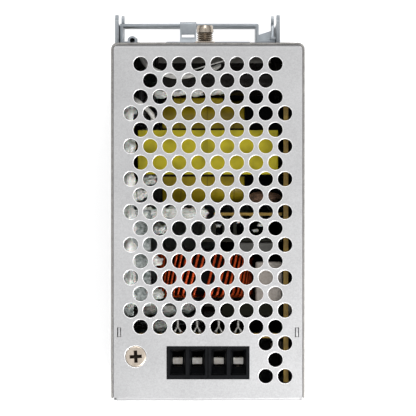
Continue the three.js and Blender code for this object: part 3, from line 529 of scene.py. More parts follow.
def round_off(bm, edges, width, segments=2):
    bmesh.ops.bevel(
        bm, geom=edges, offset=width, offset_type="OFFSET", segments=segments, profile=0.5, affect="EDGES",
        clamp_overlap=True, material=-1,
    )


def wire_start(bm, radius, sides, matrix, capped):
    """The first ring of a wire, as edges to be pulled or turned along."""
    made = bmesh.ops.create_circle(bm, cap_ends=capped, segments=sides, radius=radius, matrix=matrix)
    return list({e for v in made["verts"] for e in v.link_edges})


def sharp_edges(bm, degrees=40):
    limit = math.radians(degrees)
    return [e for e in bm.edges if len(e.link_faces) == 2 and e.calc_face_angle() > limit]


def turned(section, steps=32):
    """A body of revolution about Z from a section of (radius, height) points."""
    bm = bmesh.new()
    verts = [bm.verts.new((r, 0, z)) for r, z in section]
    edges = [bm.edges.new(pair) for pair in zip(verts, verts[1:])]
    bmesh.ops.spin(
        bm, geom=verts + edges, cent=(0, 0, 0), axis=(0, 0, 1), angle=2 * math.pi, steps=steps,
        use_merge=True,
    )
    bmesh.ops.remove_doubles(bm, verts=bm.verts, dist=1e-4)
    return bm


def from_cad(node, rounding, segments=2, degrees=40, pick=None):
    """A merged copy of a CAD node in the case's frame, with its sharp edges rounded."""
    bm = bmesh.new()
    bm.from_mesh(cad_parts[node].data)
    bmesh.ops.translate(bm, vec=(0, -BACK, 0), verts=bm.verts)
    bmesh.ops.scale(bm, vec=(1 / MM,) * 3, verts=bm.verts)
    bmesh.ops.remove_doubles(bm, verts=bm.verts, dist=1e-3)
    bmesh.ops.dissolve_limit(bm, angle_limit=math.radians(1), verts=bm.verts, edges=bm.edges)
    edges = sharp_edges(bm, degrees)
    if pick:
        first = [e for e in edges if pick(e)]
        round_off(bm, first, 1.0, 4)
        edges = sharp_edges(bm, degrees)
    if rounding:
        round_off(bm, edges, rounding, segments)
    return bm


def rounded_copy(node, name, finish, rounding, segments=2, body="case"):
    """Delivers a CAD node's own shape with its sharp edges rounded."""
    deliver(from_cad(node, rounding, segments), name, finish, body=body, replaces=[node])


def at(place, turn=Matrix.Identity(4)):
    """A turn, and then a move to a place."""
    return Matrix.Translation(place) @ turn


END_MATRICES = {
    "output": Matrix.Translation((0, 0, HEIGHT)),
    "input": Matrix.Rotation(math.pi, 4, "Y"),
}
# These turn a part that is drawn along +Z.
Z_TO_MINUS_Y = Matrix.Rotation(math.pi / 2, 4, "X")
Z_TO_PLUS_Y = Matrix.Rotation(-math.pi / 2, 4, "X")
Z_TO_PLUS_X = Matrix.Rotation(math.pi / 2, 4, "Y")
# A punched sheet's second finish is its holes' pale rims: bare steel and painted highlight.
PUNCHED = ["case_steel", "cut_edge_and_highlight"]
# A screw's second finish is painted shade in its cross recess.
CROSS_HEAD = ["nickel", "recess"]


# ---------------------------------------------------------------- case
def end_plate(holes_half):
    """A folded end plate with its outside at z = 0."""
    edge = PLATE_HIGH.x
    front = FRONT + PLATE_BEND
    rear = PLATE_HIGH.y - PLATE_BEND
    corner = CORNER_RADIUS
    start = math.asin((rear - PLATE_HIGH.y + corner) / corner)
    arc_x = edge - corner
    arc_y = PLATE_HIGH.y - corner
    arc = []
    for i in range(5):
        angle = i * start / 4
        arc.append((arc_x + corner * math.cos(angle), arc_y + corner * math.sin(angle)))
    outline = [(-edge, front), (-edge + PLATE_BEND, front), (edge - PLATE_BEND, front), (edge, front)]
    outline += arc + [(-x, y) for x, y in reversed(arc)]
    half = holes_half + RISER_GAP
    openings = [rectangle((-half, half), (RISER_FRONT - RISER_GAP, RISER_REAR + RISER_GAP))]
    for x in (-RAIL_X, RAIL_X):
        across = (x - SLOT_WIDTH / 2, x + SLOT_WIDTH / 2)
        openings.append(rectangle(across, (SLOT_Y - SLOT_LENGTH / 2, SLOT_Y + SLOT_LENGTH / 2)))
    radius = sizes().vent_diameter / MM / 2
    holes = [(x, y, radius) for x, y in vent_centres()]
    screw_low, screw_high = box_mm("output_plate_screw")
    screw = (screw_low + screw_high) / 2
    holes.append((screw.x, screw.y, (screw_high.x - screw_low.x) / 2 + 0.12))
    bm = slab(outline, holes, openings, PLATE_SHEET, sizes().punch_rounding / MM, sizes().vent_segments)
    bmesh.ops.recalc_face_normals(bm, faces=bm.faces)
    for y, way, lip in ((front, -1, FRONT_LIP), (rear, 1, REAR_LIP)):
        reach = edge - PLATE_BEND * (way < 0) + 1e-3
        faces = fold(
            bm, lambda co: abs(co.y - y) < 1e-4 and abs(co.x) < reach, (0, y, -PLATE_BEND), (-way, 0, 0)
        )
        push(bm, faces, (0, 0, PLATE_BEND - lip))
    for v in bm.verts:
        past = v.co.y - PLATE_HIGH.y + corner
        if past > 0:
            limit = edge - corner + math.sqrt(max(corner**2 - past**2, 0))
            v.co.x = max(-limit, min(limit, v.co.x))
    return bm


def cover():
    """The wrapped sheet: side, back and side, drawn as a wall that is pulled and turned along."""
    bm = bmesh.new()
    free = COVER_LOW.y
    x = -HALF_WIDTH
    corners = rectangle((x, x + COVER_SHEET), (COVER_LOW.z, COVER_HIGH.z))
    end = bm.faces.new([bm.verts.new((u, free, v)) for u, v in corners])
    bend = HALF_WIDTH - COVER_BEND
    end = push(bm, [end], (0, -free - COVER_BEND, 0))
    turn = dict(axis=(0, 0, -1), angle=math.pi / 2, steps=8)
    end = bmesh.ops.spin(bm, geom=end, cent=(-bend, -COVER_BEND, 0), **turn)["geom_last"]
    end = push(bm, only(end, BMFace), (2 * bend, 0, 0))
    end = bmesh.ops.spin(bm, geom=end, cent=(bend, -COVER_BEND, 0), **turn)["geom_last"]
    push(bm, only(end, BMFace), (0, free + COVER_BEND, 0))
    bmesh.ops.recalc_face_normals(bm, faces=bm.faces)
    round_off(bm, sharp_edges(bm, 60), 0.12)
    bm.normal_update()
    # Faces that look up or down, the sheet's edges, take the second finish: painted shade along the edge.
    for face in bm.faces:
        face.material_index = int(abs(face.normal.z) > 0.3)
    return bm


def front_panel():
    """The front plate with its openings, and a rail with tabs behind each side."""
    half = PANEL_HIGH.x
    low = FRONT_LIP + RISER_GAP
    high = HEIGHT - low
    deep = TERMINAL_HEIGHT + RISER_GAP
    out_half, out_z = terminal_half("output") + RISER_GAP, HEIGHT - deep
    in_half, in_z = terminal_half("input") + RISER_GAP, deep
    outline = [
        (-half, low), (-in_half, low), (-in_half, in_z), (in_half, in_z), (in_half, low), (half, low),
        (half, high), (out_half, high), (out_half, out_z), (-out_half, out_z), (-out_half, high),
        (-half, high),
    ]
    holes = []
    for node, clearance in (("status_light", 0.1), ("trimmer_shaft", 0.3)):
        near, far = box_mm(node)
        radius = LIGHT_RADIUS if node == "status_light" else (far.x - near.x) / 2
        holes.append(((near.x + far.x) / 2, (near.z + far.z) / 2, radius + clearance))
    bm = slab(outline, holes, [], PLATE_SHEET, 0.15, 40)
    transform(bm, at((0, FRONT, 0), Z_TO_MINUS_Y))
    inner = PLATE_SHEET + 0.2
    for x in (-RAIL_X, RAIL_X):
        span = (x - PLATE_SHEET / 2, x + PLATE_SHEET / 2)
        block(bm, span, (FRONT + 2, PANEL_HIGH.y), (inner, HEIGHT - inner), 0.1)
        span = (x - 0.38, x + 0.38)
        tab = (SLOT_Y - SLOT_LENGTH / 2 + 0.1, SLOT_Y + SLOT_LENGTH / 2 - 0.1)
        block(bm, span, tab, (HEIGHT - inner - 2, HEIGHT - 0.1), 0.15)
        block(bm, span, tab, (0.1, inner + 2), 0.15)
    for end, side, z in (("output", -1, HEIGHT - 1.2), ("input", 1, 2.1)):
        x = sorted((side * RAIL_X, side * 19))
        low, high = box_mm(f"{end}_plate_screw")
        hole = ((low.x + high.x) / 2, (low.y + high.y) / 2, EAR_HOLE)
        ear = slab(rectangle(x, (FRONT + 10.4, FRONT + 18.4)), [hole], [], 0.9, 0.1)
        merge_in(bm, ear, Matrix.Translation((0, 0, z)))
    return bm


def terminal_half(end):
    """Half the width of an end's terminals."""
    if end == "input":
        return box_mm("input_terminal")[1].x
    return box_mm("output_terminal_right")[1].x


class SUPPLY_OT_case(bpy.types.Operator):
    """Folded and punched sheets: both end plates, the wrapped cover and the front panel"""

    bl_idname = "supply.case"
    bl_label = "Case"

    def execute(self, context):
        for end, matrix in END_MATRICES.items():
            bm = end_plate(terminal_half(end))
            transform(bm, matrix)
            node = f"{end}_end_plate"
            deliver(bm, f"punched_{end}_plate", PUNCHED, replaces=[node], sharp=20)
        deliver(cover(), "bent_cover", ["case_steel", "edge_line_shade"], replaces=["wrap_cover"])
        deliver(front_panel(), "front_plate", PUNCHED, replaces=["front_panel"], sharp=20)
        return {"FINISHED"}


# ---------------------------------------------------------------- fasteners
def cross_head(radius, height, crown, cross=1.9, arm=0.42, depth=1.0, under=None):
    """A screw head with a cross recess, from z = 0 up to its crown. under shapes its lower side."""
    bm = bmesh.new()
    flat = radius * 0.86
    edge_points = 32
    rim = [
        (flat * math.cos(2 * math.pi * i / edge_points), flat * math.sin(2 * math.pi * i / edge_points))
        for i in range(edge_points)
    ]
    plus = []
    for quarter in range(4):
        turn = Matrix.Rotation(quarter * math.pi / 2, 2)
        for point in ((arm, -arm), (cross, -arm), (cross, arm)):
            plus.append(tuple(turn @ Vector(point)))
    add_loop(bm, rim, height)
    recess = add_loop(bm, plus, height)
    bmesh.ops.triangle_fill(bm, use_beauty=True, use_dissolve=False, edges=bm.edges[:], normal=(0, 0, 1))
    top = set(bm.faces)
    floor = pull(bm, recess, (0, 0, -depth))
    verts = list({v for e in floor for v in e.verts})
    bmesh.ops.scale(bm, vec=(0.6, 0.6, 1), verts=verts)
    bmesh.ops.edgenet_fill(bm, edges=floor)
    # The recess's walls and floor take the second finish, which on the screws is painted shade.
    for face in set(bm.faces) - top:
        face.material_index = 1
    side = [(flat, height), (radius * 0.95, height - crown * 0.35), (radius, height - crown)]
    side += under or [(radius, 0.0), (0.0, 0.0)]
    merge_in(bm, turned(side))
    return bm


class SUPPLY_OT_fasteners(bpy.types.Operator):
    """Plate screws, earth screw with its washer, and the low heads on the rail clip"""

    bl_idname = "supply.fasteners"
    bl_label = "Fasteners"

    def execute(self, context):
        for end, matrix in END_MATRICES.items():
            low, high, centre = box_and_middle(f"{end}_plate_screw")
            radius = (high.x - low.x) / 2
            under = [(radius, -0.35), (1.6, -1.6), (1.6, -3.6), (0, -3.6)]
            bm = cross_head(radius, 0.0, 0.12, cross=2.0, arm=0.56, depth=1.9, under=under)
            turn = Matrix.Rotation(0.06, 4, "Z")
            sign = 1 if end == "output" else -1
            transform(bm, matrix @ Matrix.Translation((sign * centre.x, centre.y, -0.06)) @ turn)
            finish = ["bright_nickel", "recess"]
            deliver(bm, f"{end}_countersunk_screw", finish, replaces=[f"{end}_plate_screw"])
        self.earth_screw()
        self.low_heads()
        return {"FINISHED"}

    def earth_screw(self):
        low, high, centre = box_and_middle("earth_screw")
        head_foot = 3.5
        height = high.y - head_foot
        radius = (high.x - low.x) / 2
        bm = cross_head(radius, height, height * 0.62, cross=1.5, arm=0.36, depth=1.1)
        transform(bm, Matrix.Translation((0, 0, head_foot)))
        pitch = 0.68
        thread = [(0, -4.0), (1.6, -4.0), (1.6, 0.7)]
        for ridge in range(4):
            base = 0.8 + ridge * pitch
            thread += [(2.15, base), (2.5, base + 0.2), (2.6, base + 0.34), (2.5, base + 0.48)]
        thread += [(2.1, head_foot), (0, head_foot)]
        merge_in(bm, turned(thread))
        transform(bm, at((centre.x, 0, centre.z), Z_TO_PLUS_Y))
        deliver(bm, "ridged_earth_screw", CROSS_HEAD, replaces=["earth_screw"])
        washer_low, washer_high = box_mm("earth_washer")
        outer = (washer_high.x - washer_low.x) / 2
        section = [
            (1.75, washer_low.y), (outer - 0.1, washer_low.y), (outer, washer_low.y + 0.1),
            (outer, washer_high.y - 0.1), (outer - 0.1, washer_high.y), (1.75, washer_high.y),
            (1.75, washer_low.y),
        ]
        bm = turned(section)
        transform(bm, at((centre.x, 0, centre.z), Z_TO_PLUS_Y))
        deliver(bm, "earth_plain_washer", "nickel", replaces=["earth_washer"])

    def low_heads(self):
        for node in ("slide_rivet", "bracket_screw_1", "bracket_screw_2"):
            low, high, centre = box_and_middle(node)
            radius = (high.x - low.x) / 2
            height = 0.6
            if node == "slide_rivet":
                domed = [(0, height), (radius * 0.6, height * 0.92), (radius * 0.9, height * 0.55)]
                bm = turned(domed + [(radius, 0), (0, 0)])
            else:
                bm = cross_head(radius, height, 0.4, cross=1.4, arm=0.32, depth=0.4)
            shank = 1.3
            foot = low.y - high.y + height
            merge_in(bm, turned([(0, 0.1), (shank, 0.1), (shank, foot), (0, foot)], 20))
            transform(bm, at((centre.x, high.y - height, centre.z), Z_TO_PLUS_Y))
            deliver(bm, f"{node}_head", CROSS_HEAD, replaces=[node])


# ---------------------------------------------------------------- terminals
def pocket(bm, mouth, steps):
    """Sinks an opening's edges through ((x0, x1), (y0, y1), z) steps and closes its floor."""
    edges = mouth
    for spans_x, spans_y, z in steps:
        edges = pull(bm, edges, (0, 0, 0))
        fit_loop(edges, (spans_x, spans_y), z)
    bmesh.ops.edgenet_fill(bm, edges=edges)


def terminal_housing(centre, half, poles):
    """A screw-clamp housing in its end's frame: a mouth with funnels, a body, and screw tunnels in front."""
    bm = bmesh.new()
    x = (centre - half, centre + half)
    rim = add_loop(bm, rectangle(x, (RISER_FRONT, RISER_REAR)), -RISER_GAP)
    mouths = []
    for pole in poles:
        mouth = rectangle((pole - 2.62, pole + 2.62), (RISER_FRONT + 1.1, RISER_REAR - 0.7))
        mouths.append(add_loop(bm, mouth, -RISER_GAP))
    bmesh.ops.triangle_fill(bm, use_beauty=True, use_dissolve=False, edges=bm.edges[:], normal=(0, 0, 1))
    for pole, mouth in zip(poles, mouths):
        steps = []
        for half_x, y, z in (
            (2.45, (RISER_FRONT + 1.3, RISER_REAR - 0.9), -RISER_GAP - 0.25),
            (2.25, (RISER_FRONT + 1.6, RISER_REAR - 1.1), -2.4),
            (1.95, (RISER_FRONT + 3.5, RISER_REAR - 1.5), -4.6),
            (1.6, (FRONT + 11.0, FRONT + 15.95), -5.0),
            (1.6, (FRONT + 11.0, FRONT + 15.95), -6.2),
            (2.75, (FRONT + 9.0, FRONT + 18.7), -6.3),
            (2.75, (FRONT + 9.0, FRONT + 18.7), -TERMINAL_HEIGHT + 0.6),
        ):
            steps.append(((pole - half_x, pole + half_x), y, z))
        pocket(bm, mouth, steps)
    body_rear = TERMINAL_BOARD_LOW.y - RISER_GAP
    under = -PLATE_SHEET - RISER_GAP
    body = (SHOULDER, body_rear)
    mouth_y = (RISER_FRONT, RISER_REAR)
    pocket(bm, rim, [(x, mouth_y, under - 0.05), (x, body, under - 0.15), (x, body, -TERMINAL_HEIGHT)])
    bmesh.ops.recalc_face_normals(bm, faces=bm.faces)
    face = FRONT + 1.2
    tunnels = [(pole, -SCREW_DEPTH, 2.9) for pole in poles]
    outline = rectangle(x, (-TERMINAL_HEIGHT, -PLATE_SHEET - 0.4))
    plate = slab(outline, tunnels, [], SHOULDER - face + 0.02, 0.2, 32)
    merge_in(bm, plate, at((0, face, 0), Z_TO_MINUS_Y))
    block(bm, x, (FRONT + 0.5, face + 0.3), (-TERMINAL_HEIGHT, -TERMINAL_HEIGHT + 3.6), 0.25)
    return bm


def end_poles(end, node):
    """The x of each clamp in a terminal node, in its end's own frame."""
    low, high = box_mm(node)
    sign = 1 if end == "output" else -1
    found = []
    for i in range(1, 5 if end == "output" else 4):
        near, far = box_mm(f"{end}_clamp_{i}")
        x = (near.x + far.x) / 2
        if low.x < x < high.x:
            found.append(sign * x)
    centre = sign * (low.x + high.x) / 2
    return centre, (high.x - low.x) / 2, sorted(found)


class SUPPLY_OT_terminals(bpy.types.Operator):
    """Terminal housings, with a rising clamp and its screw at every pole"""

    bl_idname = "supply.terminals"
    bl_label = "Terminals"

    def execute(self, context):
        for end, node in (
            ("output", "output_terminal_left"),
            ("output", "output_terminal_right"),
            ("input", "input_terminal"),
        ):
            bm = terminal_housing(*end_poles(end, node))
            transform(bm, END_MATRICES[end])
            deliver(bm, f"{node}_housing", ["black", "black"], replaces=[node])
        for end, count in (("output", 4), ("input", 3)):
            for i in range(1, count + 1):
                clamp = f"{end}_clamp_{i}"
                rounded_copy(clamp, f"{clamp}_cage", "tin", 0.18, 3, body=clamp)
                self.screw(end, i)
        return {"FINISHED"}

    def screw(self, end, index):
        node = f"{end}_clamp_screw_{index}"
        low, high, centre = box_and_middle(node)
        head = 2.3
        bm = cross_head((high.x - low.x) / 2, head, 0.5, cross=2.0, arm=0.42, depth=1.2)
        length = high.y - low.y - head
        thread = [(0, 0.05), (1.45, 0.05)]
        pitch = 0.5
        turns = int((length - 1.5) / pitch)
        for i in range(turns):
            base = -1.0 - i * pitch
            thread += [(1.45, base), (1.25, base - pitch / 2)]
        thread += [(1.1, -length), (0, -length)]
        merge_in(bm, turned(thread, 20))
        transform(bm, at((centre.x, low.y + head, centre.z), Z_TO_MINUS_Y))
        body = f"{end}_screw_{index}"
        deliver(bm, f"{node}_turned", CROSS_HEAD, body=body, replaces=[node])


# ---------------------------------------------------------------- boards
def board(node):
    """A circuit board: faces in solder mask, sawn edges bare."""
    low, high = box_mm(node)
    bm = bmesh.new()
    block(bm, (low.x, high.x), (low.y, high.y), (low.z, high.z), 0.08, 1)
    thin = min(range(3), key=lambda axis: high[axis] - low[axis])
    bm.normal_update()
    for face in bm.faces:
        face.material_index = 0 if abs(face.normal[thin]) > 0.9 else 1
    return bm


class SUPPLY_OT_boards(bpy.types.Operator):
    """Circuit boards, their spacers, the insulating sheet and the solder joints of the output pins"""

    bl_idname = "supply.boards"
    bl_label = "Boards"

    def execute(self, context):
        for node in ("main_board", "terminal_board", "control_board"):
            deliver(board(node), f"{node}_laminate", ["mask", "laminate"], replaces=[node])
        rounded_copy("insulator_sheet", "fibre_sheet", "fibre", 0.1)
        for i in range(1, 5):
            node = f"board_spacer_{i}"
            low, high, centre = box_and_middle(node)
            radius = (high.z - low.z) / 2
            length = high.x - low.x
            waist = radius * 0.75
            section = [(0, 0), (radius, 0), (radius, 0.6), (waist, 0.8), (waist, length), (0, length)]
            bm = turned(section, 24)
            transform(bm, at((low.x, centre.y, centre.z), Z_TO_PLUS_X))
            deliver(bm, f"{node}_turned", "white", replaces=[node])
        self.pins()
        return {"FINISHED"}

    def pins(self):
        """Each output pin comes through the terminal board with a cone of solder on its split leg."""
        bm = bmesh.new()
        for i in range(1, 5):
            low, high = box_mm(f"output_clamp_{i}")
            x = (low.x + high.x) / 2
            place = at((x, TERMINAL_BOARD_HIGH.y, HEIGHT - 9.5), Z_TO_PLUS_Y)
            for side in (-1, 1):
                section = [(0, 0), (1.0, 0), (0.55, 0.4), (0.4, 1.0), (0.36, 2.3), (0, 2.5)]
                tilt = Matrix.Translation((side * 1.15, 0, 0)) @ Matrix.Rotation(-side * 0.5, 4, "Y")
                merge_in(bm, turned(section, 16), place @ tilt)
            stem = turned([(0, 1.4), (0.5, 1.5), (0.5, 3.9), (0.3, 4.2), (0, 4.2)], 12)
            merge_in(bm, stem, place)
        deliver(bm, "output_pin_solder", "solder")


# ---------------------------------------------------------------- wound parts
def swept_ring(bm, half_u, half_v, corner, radius, sides=8, steps=4):
    """A wire bent to a rounded rectangle in the XY plane, centred on the origin."""
    edges = wire_start(bm, radius, sides, at((half_u, -half_v + corner, 0), Z_TO_MINUS_Y), False)
    corners = ((1, 1), (-1, 1), (-1, -1), (1, -1))
    runs = ((0, 1), (-1, 0), (0, -1), (1, 0))
    for (cx, cy), (dx, dy) in zip(corners, runs):
        length = 2 * (half_v if dx == 0 else half_u) - 2 * corner
        edges = pull(bm, edges, (dx * length, dy * length, 0))
        centre = (cx * (half_u - corner), cy * (half_v - corner), 0)
        made = bmesh.ops.spin(
            bm, geom=edges, cent=centre, axis=(0, 0, 1), angle=math.pi / 2, steps=steps
        )["geom_last"]
        edges = only(made, BMEdge)
    bmesh.ops.remove_doubles(bm, verts=bm.verts, dist=1e-3)


class SUPPLY_OT_wound_parts(bpy.types.Operator):
    """Transformer with its taped core and coil, the toroid output choke and the filter choke"""

    bl_idname = "supply.wound_parts"
    bl_label = "Wound parts"

    def execute(self, context):
        rounded_copy("transformer_core", "transformer_ferrite", "ferrite", 0.3)
        self.tape()
        self.coil()
        rounded_copy("transformer_bobbin", "bobbin_moulding", "black", 0.12)
        self.choke()
        self.filter_choke()
        return {"FINISHED"}

    def tape(self):
        bm = from_cad("transformer_tape", 0)
        upright = [e for e in sharp_edges(bm, 60) if abs(e.verts[0].co.y - e.verts[1].co.y) > 1]
        round_off(bm, upright, 0.35, 4)
        deliver(bm, "core_tape", "tape", replaces=["transformer_tape"])

    def coil(self):
        # The coil and its margin take the darker tape, as painted shade.
        rounded_copy("transformer_coil", "coil_wrap", "coil_tape", 0.5, 3)
        tape_low, tape_high = box_mm("transformer_tape")
        low, high = box_mm("transformer_coil")
        # A thin black strip along each side of the tape, in the ferrite's finish: painted shade in the gap
        # between the coil and the tape.
        bm = bmesh.new()
        for y in (tape_high.y + 0.2, tape_low.y - 0.2):
            block(bm, (low.x, high.x), (y - 0.55, y + 0.55), (high.z - 2, high.z + 0.3), 0.1)
        deliver(bm, "coil_gap_painted_shade", "ferrite")
        bm = bmesh.new()
        block(bm, (low.x + 3.5, high.x - 7), (high.y - 2, -17.6), (high.z - 12, high.z - 0.6), 0.6, 3)
        deliver(bm, "coil_margin_tape", "coil_tape")

    def choke(self):
        low, high, centre = box_and_middle("choke_winding")
        outer = (high.x - low.x) / 2
        half_y = (high.y - low.y) / 2
        wire = sizes().wire_diameter / MM / 2
        core_low, core_high = box_mm("choke_core")
        core_outer = (core_high.x - core_low.x) / 2 + 0.35
        core_inner = 7.6
        core_half = (core_high.y - core_low.y) / 2 + 0.35
        round_by = 1.2
        section = [
            (core_inner, -core_half + round_by), (core_inner + round_by, -core_half),
            (core_outer - round_by, -core_half), (core_outer, -core_half + round_by),
            (core_outer, core_half - round_by), (core_outer - round_by, core_half),
            (core_inner + round_by, core_half), (core_inner, core_half - round_by),
            (core_inner, -core_half + round_by),
        ]
        to_y = Matrix.Translation(centre) @ Z_TO_PLUS_Y
        bm = turned(section, 64)
        transform(bm, to_y)
        deliver(bm, "choke_coated_core", "core_paint", replaces=["choke_core"])
        inner = 6.3
        bm = bmesh.new()
        swept_ring(bm, (outer - inner) / 2 - wire, half_y - wire, 1.5, wire)
        lean = Matrix.Rotation(math.radians(-15), 4, "X")
        transform(bm, at(((outer + inner) / 2, 0, 0), lean @ Z_TO_MINUS_Y))
        opening = math.radians(14)
        start = Matrix.Rotation(opening / 2 - math.pi / 2, 4, "Z")
        transform(bm, start)
        one = bm.verts[:] + bm.edges[:] + bm.faces[:]
        bmesh.ops.spin(
            bm, geom=one, cent=(0, 0, 0), axis=(0, 0, 1), angle=2 * math.pi - opening,
            steps=sizes().wire_turns - 1, use_duplicate=True,
        )
        transform(bm, to_y)
        deliver(
            bm, "choke_wire_turns", "enamel", replaces=["choke_winding"], sharp=60, tidy=False
        )

    def filter_choke(self):
        low, high, centre = box_and_middle("filter_choke")
        radius = (high.z - low.z) / 2
        length = high.x - low.x
        rim = 1.0
        section = [
            (0, 0), (radius - rim, 0), (radius, rim), (radius, 3.2), (radius - 0.9, 3.4),
            (radius - 0.9, length - 3.4), (radius, length - 3.2), (radius, length - 0.2), (0, length - 0.2),
        ]
        bm = turned(section, 40)
        transform(bm, at((low.x, centre.y, centre.z), Z_TO_PLUS_X))
        deliver(bm, "filter_choke_wound", "ferrite", replaces=["filter_choke"])


# ---------------------------------------------------------------- capacitors and the rest
def can(node, name, groove=2.2):
    """A sleeved capacitor lying along X: a sunk aluminium end, a crimped neck and a stripe on its sleeve."""
    low, high, centre = box_and_middle(node)
    radius = (high.z - low.z) / 2 + 0.1
    length = high.x - low.x
    end = radius * 0.82
    metal = turned([(0, 0.35), (end * 0.9, 0.3), (end, 0.0)], 40)
    sleeve = turned(
        [
            (end, 0.0), (radius - 0.35, 0.05), (radius, 0.5), (radius, length - groove - 1.6),
            (radius - 0.7, length - groove - 0.8), (radius, length - groove), (radius, length - 0.4),
            (radius - 0.4, length), (0, length),
        ],
        48,
    )
    for face in metal.faces:
        face.material_index = 1
    merge_in(sleeve, metal)
    bmesh.ops.remove_doubles(sleeve, verts=sleeve.verts, dist=1e-3)
    for face in sleeve.faces:
        middle = face.calc_center_median()
        if face.material_index == 0 and 0.6 < middle.z < length - groove - 1.6:
            if abs(math.atan2(middle.y, middle.x) - 2.2) < 0.28:
                face.material_index = 2
    transform(sleeve, at((low.x, centre.y, centre.z), Z_TO_PLUS_X))
    deliver(sleeve, name, ["sleeve", "can", "stripe"], replaces=[node])


def lumps(bm, centre, size, seed, swell=0.35, level=4):
    """A lump of adhesive: a ball stretched to size and pushed about by a noise."""
    made = bmesh.ops.create_icosphere(bm, subdivisions=level, radius=1)["verts"]
    for v in made:
        away = noise.noise(v.co * 1.7 + Vector((seed, seed * 0.7, 0))) * swell
        away += noise.noise(v.co * 4.1 + Vector((0, seed, seed))) * swell * 0.4
        v.co *= 1 + away
    bmesh.ops.scale(bm, vec=size, verts=made)
    bmesh.ops.translate(bm, vec=centre, verts=made)


def lead(bm, points, radius, sides=10, steps=6):
    """A lead through a list of points: a tube whose rings follow a smooth line."""
    points = [Vector(p) for p in points]
    line = []
    for i in range(len(points) - 1):
        p0 = points[max(i - 1, 0)]
        p1, p2 = points[i], points[i + 1]
        p3 = points[min(i + 2, len(points) - 1)]
        for k in range(steps):
            t = k / steps
            square = (2 * p0 - 5 * p1 + 4 * p2 - p3) * t**2
            cube = (3 * p1 - p0 - 3 * p2 + p3) * t**3
            line.append(0.5 * ((2 * p1) + (p2 - p0) * t + square + cube))
    line.append(points[-1])
    edges = None
    previous = None
    for i, place in enumerate(line):
        ahead = line[min(i + 1, len(line) - 1)] - line[max(i - 1, 0)]
        turn = ahead.to_track_quat("Z", "Y").to_matrix().to_4x4()
        matrix = Matrix.Translation(place) @ turn
        if edges is None:
            edges = wire_start(bm, radius, sides, matrix, True)
        else:
            edges = pull(bm, edges, (0, 0, 0))
            verts = list({v for e in edges for v in e.verts})
            transform(bm, matrix @ previous.inverted(), verts)
        previous = matrix
    bmesh.ops.edgenet_fill(bm, edges=edges)


# Groups of adhesive beads: centres, half sizes, swell, ball level, and each bead's step in seed.
BEADS = (
    # along the primary heatsink
    (
        [(-26.2, y, 119.3) for y in (-23, -34, -45, -50, -56, -61, -67, -72, -77, -83)],
        (2.6, 3.4, 1.9), 0.35, 4, 1.7,
    ),
    # behind the coil
    (
        [(-15.5, -16.3, 113.2), (-10, -15.6, 113.2), (-4, -15.6, 113.2), (2.5, -15.3, 113.2)],
        (3.0, 1.5, 3.0), 0.35, 4, 1.3,
    ),
    # in front of the coil
    (
        [(x, y, 115.5) for x, y in ((-20.5, -55.6), (-16, -56), (-11.5, -55.6), (-7, -56.2), (-3.5, -55.4))],
        (3.3, 2.2, 2.6), 0.4, 4, 1.1,
    ),
    # round the heatsink's fins and the choke
    (
        [
            (-22.3, -49.4, 116), (-19.4, -44.6, 112), (-16, -60.6, 111), (-19.3, -87, 108),
            (-13, -87.4, 107), (-7, -86.4, 107), (-16, -92.6, 108), (-17.4, -71.2, 120.4),
            (-17.2, -81.8, 120),
        ],
        (2.6, 1.7, 2.0), 0.4, 4, 0.9,
    ),
    # small drips on the right
    (
        [(3.4, -59.6, 113.5), (15.5, -61.2, 113.5), (17.2, -59.4, 113.5), (9.5, -58.4, 113.5)],
        (1.1, 0.5, 0.8), 0.4, 3, 1.1,
    ),
)


